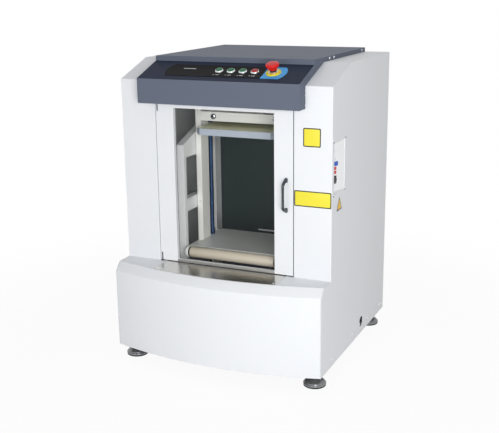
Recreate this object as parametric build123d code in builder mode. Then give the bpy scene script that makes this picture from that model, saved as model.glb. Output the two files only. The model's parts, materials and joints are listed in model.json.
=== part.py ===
"""Floor-standing shaker cabinet with a rocking, self-clamping pail cradle behind a framed door.

Frame: millimetres, +Z up, +X to the user's right, the user stands at -Y. The origin is on the
floor, under the middle of the cabinet's outline.
"""
from build123d import *
import os
from math import atan2, cos, sin

# ---- Cabinet -----------------------------------------------------------------------------
WIDTH = 760.0             # over the side panels
CABINET_DEPTH = 625.0     # fascia plane to the back
BOW_REACH = 147.0         # fascia plane to the front of the bowed lower cover
HEIGHT = 1055.0           # floor to the hood's flat top
FOOT_HEIGHT = 50.0        # floor to the underside of the cabinet
SHEET = 2.0               # folded steel sheet
PANEL_GAP = 0.5           # between neighbouring covers
SHELF_Z = 352.0           # shelf of the lower cover
LOWER_REACH = 92.0        # fascia plane to the lower cover's front at the sides
LOWER_CHAMFER = 27.0
COLUMN_DROP = 74.0        # hood top to where the column turns into the shoulder
COLUMN_TOP_Z = HEIGHT - COLUMN_DROP
SHOULDER_DROP = 15.0      # hood top to the shoulder's level part
SHOULDER_Z = HEIGHT - SHOULDER_DROP
SHOULDER_RUN = 171.0
COLUMN_WIDTH = 129.0
DOORWAY_HALF = WIDTH / 2 - COLUMN_WIDTH
JAMB_DEPTH = 25.0
REAR_FLANGE = 22.0

# ---- Hood and console --------------------------------------------------------------------
SHOULDER_WIDTH = 92.0     # side panel to the hood
HOOD_HALF = WIDTH / 2 - SHOULDER_WIDTH
HOOD_REACH = 49.0
HOOD_FRONT_DROP = 146.0   # hood top to the lower edge of its front
HOOD_BOTTOM_Z = HEIGHT - HOOD_FRONT_DROP
HOOD_FRONT_HEIGHT = 82.0
HOOD_FRONT_TOP_Z = HOOD_BOTTOM_Z + HOOD_FRONT_HEIGHT
CONSOLE_RUN = 130.0       # level depth of the sloped console
CONSOLE_RISE = 47.0       # height that the console gains over its depth
CONSOLE_BACK_Z = HOOD_FRONT_TOP_Z + CONSOLE_RISE
HOOD_SKIRT = 6.0          # how far the side skirt hides behind the shoulder
OVERLAY_WIDTH = 400.0
OVERLAY_HEIGHT = 82.0
OVERLAY_X = 5.0           # centre of the overlay
OVERLAY_BULGE = 14.0      # how far its ends bow out
OVERLAY_THICK = 1.2
CONTROLS_UP = 70.0        # controls' row, measured up the slope
BUTTON_X = (-15.0, 27.0, 69.0, 111.0)
BUTTON_BEZEL_R = 14.5
BUTTON_BEZEL_H = 3.5
BUTTON_BODY_R = 11.0
BUTTON_CAP_R = 9.6
BUTTON_TRAVEL = 3.0
ESTOP_IN = 30.0           # stop button's centre to the overlay's right end
ESTOP_X = OVERLAY_X + OVERLAY_WIDTH / 2 - ESTOP_IN
ESTOP_PLATE_WIDTH = 61.0
ESTOP_RING_R = 25.0
ESTOP_HEAD_R = 21.5
ESTOP_STEM_R = 11.0
ESTOP_TRAVEL = 5.0

# ---- Door --------------------------------------------------------------------------------
DOOR_GAP = 2.5            # stile to column
DOOR_FLOOR_GAP = 3.5
DOOR_HOOD_GAP = 4.0
DOOR_TOP_Z = HOOD_BOTTOM_Z - DOOR_HOOD_GAP
DOOR_DEPTH = 14.0
DOOR_BORDER = 68.5        # doorway's edge to the window
WINDOW_HALF = DOORWAY_HALF - DOOR_BORDER
WINDOW_BOTTOM_Z = 363.0
DOOR_TOP_RAIL = 14.0
WINDOW_TOP_Z = DOOR_TOP_Z - DOOR_TOP_RAIL
PANE_THICK = 3.0
PANE_LAP = 7.0            # pane behind the frame at the stiles
PIVOT_IN = 5.5            # door's edge to the pivot axis
PIVOT_BACK = 3.0          # door's face to the pivot axis
PIVOT_R = 4.0
RUNNING = 0.05            # radial clearance of running fits
HANDLE_IN = 27.0          # doorway's edge to the handle
HANDLE_X = DOORWAY_HALF - HANDLE_IN
HANDLE_LOW_Z = 574.0
HANDLE_HIGH_Z = 679.0
HANDLE_REACH = 33.0
HANDLE_R = 4.5

# ---- Cradle ------------------------------------------------------------------------------
ROCK_DEPTH = 200.0        # fascia plane to the rocking axis
ROCK_Z = 533.0
TRUNNION_R = 12.5
STAND_INNER = 192.0
STAND_WIDTH = 26.0
STAND_FRONT = 80.0
STAND_BACK = 330.0
STAND_STILE = 19.0
UPRIGHT_INNER = 169.0
UPRIGHT_WIDTH = 20.0
UPRIGHT_FRONT = 171.0
UPRIGHT_DEPTH = 57.0
UPRIGHT_WALL = 3.0
CRADLE_DROP = 175.0       # hood top to the cradle's uprights
UPRIGHT_TOP_Z = HEIGHT - CRADLE_DROP
PLATFORM_Z = 390.0        # top of the platform
PLATFORM_THICK = 4.0
PLATFORM_FRONT = 90.0
PLATFORM_BACK = 330.0
RAIL_DROP = 34.0          # height of the cradle's lower rails
BEAM_DROP = 22.0          # top of the uprights to the top beam
BEAM_HEIGHT = 33.0
BEAM_HIGH_Z = UPRIGHT_TOP_Z - BEAM_DROP
BEAM_LOW_Z = BEAM_HIGH_Z - BEAM_HEIGHT
ROLLER_R = 19.0
ROLLER_DEPTH = 60.0
ROLLER_Z = 376.0
ROLLER_HALF = 171.0
ROLLER_WALL = 3.0
AXLE_R = 6.0

# ---- Clamp -------------------------------------------------------------------------------
CLAMP_DROP = 37.0         # top beam to the lower edge of the raised clamp plate
CLAMP_LOW_Z = BEAM_LOW_Z - CLAMP_DROP
STAND_DROP = 38.0         # raised clamp plate to the front corner of the stands
STAND_FRONT_TOP_Z = CLAMP_LOW_Z - STAND_DROP
CLAMP_FLANGE = 23.0
CLAMP_HALF = 152.0
CLAMP_FRONT = 90.0
SCREW_X = 181.0
SCREW_DEPTH = 268.0
SCREW_R = 8.0
SCREW_COLLAR_R = 10.5
HEAD_PLATE_THICK = 8.0
HEAD_PLATE_HALF = 195.0
HEAD_PLATE_BACK = 40.0    # screws' axes to the plate's back edge
SCREW_PULLEY_R = 25.0
CLAMP_BELT_WIDTH = 12.0
BELT_THICK = 2.0
BELT_GAP = 0.3

# ---- Drive -------------------------------------------------------------------------------
CRANK_THROW = 13.0
CRANK_DEPTH = 470.0
ROD_PIN_DEPTH = 350.0
ROD_PIN_Z = 345.0
ROD_THICK = 16.0
SHAFT_R = 15.0
FLYWHEEL_R = 110.0
FLYWHEEL_X = 90.0
PULLEY_WIDTH = 26.0
MOTOR_PULLEY_R = 35.0
MOTOR_Z = 172.0
MOTOR_R = 60.0
VBELT_WIDTH = 13.0
VBELT_THICK = 8.0

# ---- Derived places ----------------------------------------------------------------------
BACK_Y = (CABINET_DEPTH + BOW_REACH) / 2
FASCIA_Y = BACK_Y - CABINET_DEPTH
SIDE_X = WIDTH / 2
BASE_Z = FOOT_HEIGHT


def depth(distance):
    """Y of a place so far behind the fascia plane."""
    return FASCIA_Y + distance


LOWER_FRONT_Y = depth(-LOWER_REACH)
BOW_FRONT_Y = depth(-BOW_REACH)
ROCK_Y = depth(ROCK_DEPTH)

os.makedirs("parts", exist_ok=True)


def save(piece, name):
    """Label a finished piece and write its STEP file."""
    piece.part.label = name
    export_step(piece.part, f"parts/{name}.step")


def block(x_span, y_span, z_span, mode=Mode.ADD):
    """Rectangular block between three pairs of limits, given in any order."""
    centre = tuple((low + high) / 2 for low, high in (x_span, y_span, z_span))
    with Locations(centre):
        Box(*[abs(high - low) for low, high in (x_span, y_span, z_span)], mode=mode)


def outline(points, mode=Mode.ADD):
    """Closed straight-sided face in the open sketch."""
    with BuildLine() as edge_path:
        Polyline(*points, close=True)
    make_face(edge_path.line.edges(), mode=mode)


def rod_x(x_span, y, z, radius, mode=Mode.ADD):
    """Round bar or bore along X."""
    with Locations((sum(x_span) / 2, y, z)):
        Cylinder(radius, abs(x_span[1] - x_span[0]), rotation=(0, 90, 0), mode=mode)


def rod_z(x, y, z_span, radius, mode=Mode.ADD):
    """Round bar or bore along Z."""
    with Locations((x, y, sum(z_span) / 2)):
        Cylinder(radius, abs(z_span[1] - z_span[0]), mode=mode)


# ---- Base frame, floor and feet ----------------------------------------------------------
COVER_SCREW_IN = 43.0     # back to the last cover screw
COVER_SCREW_DEPTHS = (17.0, 241.0, 425.0, CABINET_DEPTH - COVER_SCREW_IN)
COVER_SCREW_Z = 76.0
COVER_SCREW_R = 2.5
CABLE_HOLE_R = 19.0
CABLE_HOLE_DEPTH = 340.0
CABLE_HOLE_Z = 93.0
ANGLE = 40.0
ANGLE_WALL = 4.0
INSIDE_HALF = SIDE_X - SHEET - PANEL_GAP      # pieces that lie between the side panels
FRAME_HALF = INSIDE_HALF - SHEET              # the frame also clears the lower cover's returns
FRAME_FRONT_Y = depth(-78)
FRAME_BACK_Y = BACK_Y - SHEET - 3
FRAME_TOP_Z = BASE_Z + ANGLE
FLOOR_THICK = 4.0
TRAY_LAP = 2.5            # tray over the side angles
NUT_ROOM_R = 13.0
FLOOR_Z = FRAME_TOP_Z + FLOOR_THICK
FOOT_IN = 40.0
FOOT_X = SIDE_X - FOOT_IN
FOOT_BACK_IN = 60.0       # back to the rear feet
FOOT_DEPTHS = (-37.0, CABINET_DEPTH - FOOT_BACK_IN)
FOOT_SPOTS = [(side * FOOT_X, depth(d)) for side in (-1, 1) for d in FOOT_DEPTHS]
STEM_R = 6.0
STEM_HOLE_R = 7.0
PAD_R = 38.5
PAD_HEIGHT = 26.0
frame_mid_y = (FRAME_FRONT_Y + FRAME_BACK_Y) / 2
frame_length = FRAME_BACK_Y - FRAME_FRONT_Y

with BuildPart() as base_frame:
    with BuildSketch(Plane.XY.offset(BASE_Z)):
        with Locations((0, frame_mid_y)):
            Rectangle(2 * FRAME_HALF, frame_length)
            Rectangle(2 * (FRAME_HALF - ANGLE_WALL), frame_length - 2 * ANGLE_WALL, mode=Mode.SUBTRACT)
    extrude(amount=ANGLE)
    with BuildSketch(Plane.XY.offset(FRAME_TOP_Z - ANGLE_WALL)):
        with Locations((0, frame_mid_y)):
            Rectangle(2 * FRAME_HALF, frame_length)
            Rectangle(2 * (FRAME_HALF - ANGLE), frame_length - 2 * ANGLE, mode=Mode.SUBTRACT)
    extrude(amount=ANGLE_WALL)
    for cross_y in (depth(STAND_FRONT + ANGLE / 2), depth(STAND_BACK - ANGLE / 2), depth(CRANK_DEPTH)):
        block((-FRAME_HALF, FRAME_HALF), (cross_y - ANGLE / 2, cross_y + ANGLE / 2),
              (FRAME_TOP_Z - ANGLE_WALL, FRAME_TOP_Z))
        block((-FRAME_HALF, FRAME_HALF), (cross_y - ANGLE_WALL / 2, cross_y + ANGLE_WALL / 2),
              (BASE_Z + ANGLE_WALL, FRAME_TOP_Z))
    for foot_x, foot_y in FOOT_SPOTS:
        rod_z(foot_x, foot_y, (BASE_Z, FRAME_TOP_Z + 1), STEM_HOLE_R, mode=Mode.SUBTRACT)
    for screw_depth in COVER_SCREW_DEPTHS:
        rod_x((-SIDE_X, SIDE_X), depth(screw_depth), COVER_SCREW_Z, COVER_SCREW_R, mode=Mode.SUBTRACT)
    cable_y = (depth(CABLE_HOLE_DEPTH - CABLE_HOLE_R - 3), depth(CABLE_HOLE_DEPTH + CABLE_HOLE_R + 3))
    block((FRAME_HALF - ANGLE - 1, SIDE_X), cable_y, (CABLE_HOLE_Z - CABLE_HOLE_R - 2, FRAME_TOP_Z + 1),
          mode=Mode.SUBTRACT)
save(base_frame, "base_frame")

with BuildPart() as floor_tray:
    # it rests on the cross members and on the inner edges of the frame's side angles
    tray_half = FRAME_HALF - ANGLE + TRAY_LAP
    block((-tray_half, tray_half), (FRAME_FRONT_Y, FRAME_BACK_Y), (FRAME_TOP_Z, FLOOR_Z))
    for foot_x, foot_y in FOOT_SPOTS:
        rod_z(foot_x, foot_y, (FRAME_TOP_Z - 1, FLOOR_Z + 1), NUT_ROOM_R, mode=Mode.SUBTRACT)
save(floor_tray, "floor_tray")

with BuildPart() as foot_pads:
    with BuildSketch(Plane.XZ) as pad_half:
        with BuildLine():
            Polyline((STEM_R, 0), (PAD_R - 2, 0), (PAD_R, 4), (PAD_R - 1.5, 10))
            Spline((PAD_R - 1.5, 10), (PAD_R * 0.68, PAD_HEIGHT * 0.74), (12, PAD_HEIGHT),
                   tangents=((-0.2, 1), (-1, 0.05)))
            Polyline((12, PAD_HEIGHT), (STEM_R, PAD_HEIGHT), (STEM_R, 0))
        make_face()
    for foot_x, foot_y in FOOT_SPOTS:
        with Locations((foot_x, foot_y, 0)):
            add(Solid.revolve(pad_half.sketch.faces()[0], 360, Axis.Z))
save(foot_pads, "foot_pads")

NUT_FLATS = 19.0
NUT_HEIGHT = 10.0
STEM_PROUD = 24.0
with BuildPart() as foot_stems:
    # threaded stems, each held by a nut under the frame's flange and one on top of it
    for foot_x, foot_y in FOOT_SPOTS:
        rod_z(foot_x, foot_y, (2, FLOOR_Z + STEM_PROUD), STEM_R)
    chamfer(foot_stems.edges().filter_by(GeomType.CIRCLE).group_by(Axis.Z)[-1], 1)
    for nut_z in (FRAME_TOP_Z - ANGLE_WALL - NUT_HEIGHT, FRAME_TOP_Z):
        with BuildSketch(Plane.XY.offset(nut_z)):
            with Locations(*FOOT_SPOTS):
                RegularPolygon(NUT_FLATS / 2, 6, major_radius=False)
        extrude(amount=NUT_HEIGHT)
save(foot_stems, "foot_stems")

# ---- Cabinet posts and upper frame -------------------------------------------------------
POST = 30.0
POST_WALL = 3.0
POST_IN = 40.0            # posts' outer faces, in from the side panels
UPPER_DROP = 70.0         # shoulder to the upper frame
UPPER_LOW_Z = SHOULDER_Z - UPPER_DROP
HEADER_DROP = 10.0
HEADER_TOP_Z = UPPER_LOW_Z - HEADER_DROP
RAIL_X = HOOD_HALF - SHEET
HEADER_FRONT_Y = depth(JAMB_DEPTH + 1)
HEADER_BACK_Y = depth(60)
HEADER_LAP = 11.0         # header behind the door's top edge
HEADER_LOW_Z = DOOR_TOP_Z - HEADER_LAP
POST_TOP_Z = UPPER_LOW_Z

with BuildPart() as cabinet_posts:
    for side in (-1, 1):
        outer_x = side * (SIDE_X - POST_IN)
        for corner_y, inward in ((depth(30), 1), (BACK_Y - 12, -1)):
            block((outer_x, outer_x - side * POST), (corner_y, corner_y + inward * POST_WALL),
                  (FLOOR_Z, POST_TOP_Z))
            block((outer_x, outer_x - side * POST_WALL), (corner_y, corner_y + inward * POST),
                  (FLOOR_Z, POST_TOP_Z))
save(cabinet_posts, "cabinet_posts")

PIVOT_X = -(DOORWAY_HALF - DOOR_GAP - PIVOT_IN)
PIVOT_Y = depth(PIVOT_BACK)
BUSH_R = 5.5
PIVOT_PLATE_Z = DOOR_TOP_Z + 2
PIVOT_PLATE_THICK = 4.0
rail_outer = SIDE_X - POST_IN
strap_inner = RAIL_X - POST
with BuildPart() as upper_frame:
    # side rails on the posts, a rear rail, and the header that carries the door's upper pivot
    for side in (-1, 1):
        block((side * strap_inner, side * rail_outer), (HEADER_FRONT_Y, BACK_Y - 12),
              (UPPER_LOW_Z, UPPER_LOW_Z + POST_WALL))
        block((side * (RAIL_X - POST_WALL), side * RAIL_X), (depth(100), BACK_Y - 12),
              (UPPER_LOW_Z, SHOULDER_Z + 8))
        block((side * strap_inner, side * (strap_inner + POST_WALL)), (HEADER_FRONT_Y, HEADER_BACK_Y),
              (HEADER_LOW_Z, UPPER_LOW_Z + POST_WALL))
    block((-rail_outer, rail_outer), (BACK_Y - 12 - POST, BACK_Y - 12), (UPPER_LOW_Z, UPPER_LOW_Z + POST_WALL))
    block((-strap_inner, strap_inner), (HEADER_FRONT_Y, HEADER_FRONT_Y + POST_WALL),
          (HEADER_LOW_Z, HEADER_TOP_Z))
    block((-strap_inner, strap_inner), (HEADER_FRONT_Y, HEADER_BACK_Y),
          (HEADER_TOP_Z - POST_WALL, HEADER_TOP_Z))
    block((PIVOT_X - BUSH_R - 2, PIVOT_X + 18), (PIVOT_Y - BUSH_R - 3, HEADER_FRONT_Y + 1),
          (PIVOT_PLATE_Z, PIVOT_PLATE_Z + PIVOT_PLATE_THICK))
    rod_z(PIVOT_X, PIVOT_Y, (PIVOT_PLATE_Z - 1, PIVOT_PLATE_Z + PIVOT_PLATE_THICK + 1), BUSH_R,
          mode=Mode.SUBTRACT)
save(upper_frame, "upper_frame")

# ---- Side covers -------------------------------------------------------------------------
POCKET_FRONT = 17.0
POCKET_LENGTH = 106.0
POCKET_LOW_Z = 637.0
POCKET_HEIGHT = 165.0
POCKET_SINK = 28.0

side_outline = [(LOWER_FRONT_Y, BASE_Z), (LOWER_FRONT_Y, SHELF_Z - LOWER_CHAMFER),
                (LOWER_FRONT_Y + LOWER_CHAMFER, SHELF_Z), (FASCIA_Y, SHELF_Z),
                (FASCIA_Y, COLUMN_TOP_Z), (depth(SHOULDER_RUN), SHOULDER_Z),
                (BACK_Y, SHOULDER_Z), (BACK_Y, BASE_Z)]
fold_outline = [(FASCIA_Y, 0), (FASCIA_Y, COLUMN_TOP_Z), (depth(SHOULDER_RUN), SHOULDER_Z),
                (BACK_Y, SHOULDER_Z), (BACK_Y, 0)]


def side_cover(side):
    """Folded cover: side panel, column face with its jamb, shoulder, top and rear flanges."""
    with BuildPart() as cover:
        panel_x = min(side * SIDE_X, side * (SIDE_X - SHEET))
        fold_x = min(side * SIDE_X, side * DOORWAY_HALF)
        with BuildSketch(Plane.YZ.offset(fold_x)):
            outline(fold_outline)
            offset(amount=-SHEET, kind=Kind.INTERSECTION, mode=Mode.SUBTRACT)
        extrude(amount=SIDE_X - DOORWAY_HALF)
        hood_edge = HOOD_HALF + PANEL_GAP
        block((0, side * hood_edge), (depth(-5), BACK_Y + 5), (HOOD_BOTTOM_Z - PANEL_GAP, HEIGHT),
              mode=Mode.SUBTRACT)
        block((0, side * (SIDE_X - REAR_FLANGE)), (BACK_Y - SHEET - 1, BACK_Y + 1), (0, SHOULDER_Z - SHEET),
              mode=Mode.SUBTRACT)
        block((0, side * WIDTH), (depth(-5), BACK_Y - SHEET), (-5, SHELF_Z), mode=Mode.SUBTRACT)
        block((0, side * WIDTH), (BACK_Y - SHEET - 1, BACK_Y + 1), (-5, BASE_Z), mode=Mode.SUBTRACT)
        block((side * DOORWAY_HALF, side * (DOORWAY_HALF + SHEET)), (FASCIA_Y, depth(JAMB_DEPTH)),
              (SHELF_Z, HOOD_BOTTOM_Z - PANEL_GAP))
        with BuildSketch(Plane.YZ.offset(panel_x)):
            outline(side_outline)
            with Locations(*[(depth(d), COVER_SCREW_Z) for d in COVER_SCREW_DEPTHS]):
                Circle(COVER_SCREW_R, mode=Mode.SUBTRACT)
            if side > 0:
                with Locations((depth(POCKET_FRONT + POCKET_LENGTH / 2), POCKET_LOW_Z + POCKET_HEIGHT / 2)):
                    Rectangle(POCKET_LENGTH, POCKET_HEIGHT, mode=Mode.SUBTRACT)
                with Locations((depth(CABLE_HOLE_DEPTH), CABLE_HOLE_Z)):
                    Circle(CABLE_HOLE_R, mode=Mode.SUBTRACT)
        extrude(amount=SHEET)
    return cover


save(side_cover(-1), "left_side_cover")
save(side_cover(1), "right_side_cover")

# ---- Rear cover --------------------------------------------------------------------------
LOUVRE_LENGTH = 120.0
LOUVRE_GAP = 6.0
LOUVRE_PITCH = 18.0
LOUVRE_COUNT = 9
REAR_INSET = PANEL_GAP
with BuildPart() as rear_cover:
    block((-INSIDE_HALF, INSIDE_HALF), (BACK_Y - 2 * SHEET, BACK_Y - SHEET), (BASE_Z, SHOULDER_Z - SHEET - 1))
    block((-(SIDE_X - REAR_FLANGE) + REAR_INSET, SIDE_X - REAR_FLANGE - REAR_INSET),
          (BACK_Y - SHEET, BACK_Y), (BASE_Z + 4, BASE_Z + 4 + SHEET))
    with BuildSketch(Plane.XZ.offset(-BACK_Y)):
        for field_z in (BASE_Z + 190, SHOULDER_Z - 190):
            with Locations((0, field_z)):
                with GridLocations(LOUVRE_LENGTH * 1.5, LOUVRE_PITCH, 2, LOUVRE_COUNT):
                    SlotOverall(LOUVRE_LENGTH, LOUVRE_GAP)
    extrude(amount=3 * SHEET, mode=Mode.SUBTRACT)
save(rear_cover, "rear_cover")

# ---- Lower front cover and sill plate ----------------------------------------------------
lower_half = INSIDE_HALF
with BuildPart() as lower_front_cover:
    with BuildSketch(Plane.XY.offset(BASE_Z)):
        with BuildLine():
            ThreePointArc((-lower_half, LOWER_FRONT_Y), (0, BOW_FRONT_Y), (lower_half, LOWER_FRONT_Y))
            Polyline((lower_half, LOWER_FRONT_Y), (lower_half, depth(SHEET)),
                     (-lower_half, depth(SHEET)), (-lower_half, LOWER_FRONT_Y))
        make_face()
    extrude(amount=SHELF_Z - BASE_Z)
    chamfer(lower_front_cover.edges().filter_by(GeomType.CIRCLE).sort_by(Axis.Z)[-1], LOWER_CHAMFER)
    open_faces = [lower_front_cover.faces().sort_by(Axis.Z)[0], lower_front_cover.faces().sort_by(Axis.Y)[-1]]
    offset(amount=-SHEET, openings=open_faces, kind=Kind.INTERSECTION)
    rod_z(PIVOT_X, PIVOT_Y, (SHELF_Z - 5, SHELF_Z + 5), BUSH_R, mode=Mode.SUBTRACT)
    block((-lower_half, lower_half), (depth(-4), depth(5)), (SHELF_Z - 20, SHELF_Z - SHEET),
          mode=Mode.SUBTRACT)
    block((PIVOT_X - 14, PIVOT_X + 14), (depth(-10), depth(20)), (SHELF_Z - SHEET, SHELF_Z))
    rod_z(PIVOT_X, PIVOT_Y, (SHELF_Z - 5, SHELF_Z + 5), BUSH_R, mode=Mode.SUBTRACT)
save(lower_front_cover, "lower_front_cover")

SILL_IN = 27.0
SILL_HALF = DOORWAY_HALF - SILL_IN
SILL_THICK = 1.2
SILL_INSET = 3.0
sill_bow = BOW_REACH - LOWER_REACH
with BuildPart() as sill_plate:
    with BuildSketch(Plane.XY.offset(SHELF_Z)):
        with BuildLine():
            crease_y = LOWER_FRONT_Y + LOWER_CHAMFER + SILL_INSET
            ThreePointArc((-lower_half, crease_y), (0, crease_y - sill_bow), (lower_half, crease_y))
            Polyline((lower_half, crease_y), (lower_half, depth(-1)), (-lower_half, depth(-1)),
                     (-lower_half, crease_y))
        make_face()
        with Locations((0, depth(-BOW_REACH / 2))):
            Rectangle(2 * SILL_HALF, 2 * BOW_REACH, mode=Mode.INTERSECT)
    extrude(amount=SILL_THICK)
save(sill_plate, "sill_plate")

# ---- Hood --------------------------------------------------------------------------------
hood_front_y = depth(-HOOD_REACH)
step_y = hood_front_y + CONSOLE_RUN
hood_back_y = BACK_Y - 2 * SHEET - PANEL_GAP
hood_outline = [(hood_front_y, HOOD_BOTTOM_Z), (hood_front_y, HOOD_FRONT_TOP_Z), (step_y, CONSOLE_BACK_Z),
                (step_y, HEIGHT), (hood_back_y, HEIGHT), (hood_back_y, SHOULDER_Z - HOOD_SKIRT),
                (depth(SHOULDER_RUN), SHOULDER_Z - HOOD_SKIRT), (depth(-PANEL_GAP), COLUMN_TOP_Z - HOOD_SKIRT),
                (depth(-PANEL_GAP), HOOD_BOTTOM_Z)]
hood_cavity = [(hood_front_y, 0), (hood_front_y, HOOD_FRONT_TOP_Z), (step_y, CONSOLE_BACK_Z),
               (step_y, HEIGHT), (hood_back_y, HEIGHT), (hood_back_y, 0)]
console_slope = atan2(CONSOLE_BACK_Z - HOOD_FRONT_TOP_Z, CONSOLE_RUN)
console_plane = Plane(origin=(0, hood_front_y, HOOD_FRONT_TOP_Z), x_dir=(1, 0, 0),
                      z_dir=(0, -sin(console_slope), cos(console_slope)))
button_spots = [(x, CONTROLS_UP) for x in BUTTON_X]

with BuildPart() as hood:
    with BuildSketch(Plane.YZ.offset(-HOOD_HALF)):
        outline(hood_outline)
    extrude(amount=2 * HOOD_HALF)
    with BuildSketch(Plane.YZ.offset(-HOOD_HALF + SHEET)):
        outline(hood_cavity)
        offset(amount=-SHEET, kind=Kind.INTERSECTION, mode=Mode.REPLACE)
    extrude(amount=2 * (HOOD_HALF - SHEET), mode=Mode.SUBTRACT)
    block((-HOOD_HALF, HOOD_HALF), (hood_front_y, depth(-10)), (HOOD_BOTTOM_Z, HOOD_BOTTOM_Z + SHEET))
    with BuildSketch(console_plane.offset(-10)):
        with Locations(*button_spots):
            Circle(BUTTON_BODY_R)
        with Locations((ESTOP_X, CONTROLS_UP)):
            Circle(BUTTON_BODY_R)
    extrude(amount=20, mode=Mode.SUBTRACT)
save(hood, "hood")

HOOD_SCREW_IN = 46.0      # back to the last hood screw
HOOD_SCREW_DEPTHS = (225.0, 268.0, CABINET_DEPTH - HOOD_SCREW_IN)
HOOD_SCREW_DROP = 7.5
HOOD_SCREW_Z = HEIGHT - HOOD_SCREW_DROP
SCREW_HEAD_R = 4.6
SCREW_HEAD = 1.2
RIVET_R = 3.2
RIVET_IN = 12.0
RIVET_DEPTHS = (-86.0, -14.0)
with BuildPart() as cabinet_screws:
    # cover screws low on the side panels, hood screws above the shoulders, rivets of the sill plate
    for side in (-1, 1):
        for screw_depth in COVER_SCREW_DEPTHS:
            rod_x((side * (FRAME_HALF - ANGLE_WALL), side * SIDE_X), depth(screw_depth), COVER_SCREW_Z,
                  COVER_SCREW_R)
            rod_x((side * SIDE_X, side * (SIDE_X + SCREW_HEAD)), depth(screw_depth), COVER_SCREW_Z,
                  SCREW_HEAD_R)
        for screw_depth in HOOD_SCREW_DEPTHS:
            rod_x((side * HOOD_HALF, side * (HOOD_HALF + SCREW_HEAD)), depth(screw_depth), HOOD_SCREW_Z,
                  SCREW_HEAD_R)
        for rivet_depth in RIVET_DEPTHS:
            rod_z(side * (SILL_HALF - RIVET_IN), depth(rivet_depth),
                  (SHELF_Z + SILL_THICK, SHELF_Z + SILL_THICK + 0.9), RIVET_R)
save(cabinet_screws, "cabinet_screws")

# ---- Console -----------------------------------------------------------------------------
overlay_left = OVERLAY_X - OVERLAY_WIDTH / 2
overlay_right = OVERLAY_X + OVERLAY_WIDTH / 2
overlay_low = CONTROLS_UP - OVERLAY_HEIGHT / 2
overlay_high = CONTROLS_UP + OVERLAY_HEIGHT / 2
estop_left = overlay_right - ESTOP_PLATE_WIDTH


def overlay_face(left, right, bulge_left, bulge_right):
    """Strip of the overlay between two ends, each straight or bowed outwards."""
    with BuildLine() as edge_path:
        Line((left, overlay_low), (right, overlay_low))
        if bulge_right:
            ThreePointArc((right, overlay_low), (right + bulge_right, CONTROLS_UP), (right, overlay_high))
        else:
            Line((right, overlay_low), (right, overlay_high))
        Line((right, overlay_high), (left, overlay_high))
        if bulge_left:
            ThreePointArc((left, overlay_high), (left - bulge_left, CONTROLS_UP), (left, overlay_low))
        else:
            Line((left, overlay_high), (left, overlay_low))
    make_face(edge_path.line.edges())


with BuildPart() as console_overlay:
    with BuildSketch(console_plane):
        overlay_face(overlay_left, estop_left, OVERLAY_BULGE, 0)
        with Locations(*button_spots):
            Circle(BUTTON_BODY_R, mode=Mode.SUBTRACT)
    extrude(amount=OVERLAY_THICK)
save(console_overlay, "console_overlay")

with BuildPart() as stop_plate:
    with BuildSketch(console_plane):
        overlay_face(estop_left, overlay_right, 0, OVERLAY_BULGE)
        with Locations((ESTOP_X, CONTROLS_UP)):
            Circle(BUTTON_BODY_R, mode=Mode.SUBTRACT)
    extrude(amount=OVERLAY_THICK)
save(stop_plate, "stop_plate")

SWITCH_DEPTH = 34.0       # switch body behind the console
CAP_PROUD = 5.0
cap_well_r = BUTTON_CAP_R + 0.3
face_lift = OVERLAY_THICK
with BuildPart() as button_housings:
    with BuildSketch(console_plane.offset(-SWITCH_DEPTH)):
        with Locations(*button_spots):
            Circle(BUTTON_BODY_R)
    extrude(amount=SWITCH_DEPTH + face_lift)
    with BuildSketch(console_plane.offset(face_lift)):
        with Locations(*button_spots):
            Circle(BUTTON_BEZEL_R)
    extrude(amount=BUTTON_BEZEL_H)
    bezel_rims = button_housings.edges().filter_by(GeomType.CIRCLE).group_by(Axis(console_plane.origin,
                                                                           console_plane.z_dir))[-1]
    chamfer(bezel_rims, 1.2)
    with BuildSketch(console_plane.offset(-SWITCH_DEPTH + 20)):
        with Locations(*button_spots):
            Circle(cap_well_r)
    extrude(amount=SWITCH_DEPTH, mode=Mode.SUBTRACT)
save(button_housings, "button_housings")


def push_button(x):
    """Button cap with its skirt, seated with room for its travel."""
    with BuildPart() as cap:
        with BuildSketch(console_plane.offset(-SWITCH_DEPTH + 20 + BUTTON_TRAVEL + 0.5)):
            with Locations((x, CONTROLS_UP)):
                Circle(BUTTON_CAP_R)
        extrude(amount=SWITCH_DEPTH - 20 - BUTTON_TRAVEL - 0.5 + face_lift + BUTTON_BEZEL_H + CAP_PROUD)
        rims = cap.edges().filter_by(GeomType.CIRCLE).group_by(Axis(console_plane.origin,
                                                                  console_plane.z_dir))[-1]
        fillet(rims, 1.5)
    return cap


for button_name, button_x in zip(("start_button", "clamp_button", "release_button", "stop_button"), BUTTON_X):
    save(push_button(button_x), button_name)

STOP_RING_H = 4.0
STOP_HEAD_GAP = 9.0       # ring to the mushroom's underside
STOP_HEAD_H = 20.0
stem_well_r = ESTOP_STEM_R - 1.7
with BuildPart() as stop_ring:
    with BuildSketch(console_plane.offset(face_lift)):
        with Locations((ESTOP_X, CONTROLS_UP)):
            Circle(ESTOP_RING_R)
    extrude(amount=STOP_RING_H, taper=20)
    with BuildSketch(console_plane.offset(-SWITCH_DEPTH)):
        with Locations((ESTOP_X, CONTROLS_UP)):
            Circle(BUTTON_BODY_R)
    extrude(amount=SWITCH_DEPTH + face_lift + 1)
    with BuildSketch(console_plane.offset(-SWITCH_DEPTH + 14)):
        with Locations((ESTOP_X, CONTROLS_UP)):
            Circle(stem_well_r)
    extrude(amount=SWITCH_DEPTH, mode=Mode.SUBTRACT)
save(stop_ring, "stop_ring")

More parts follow.
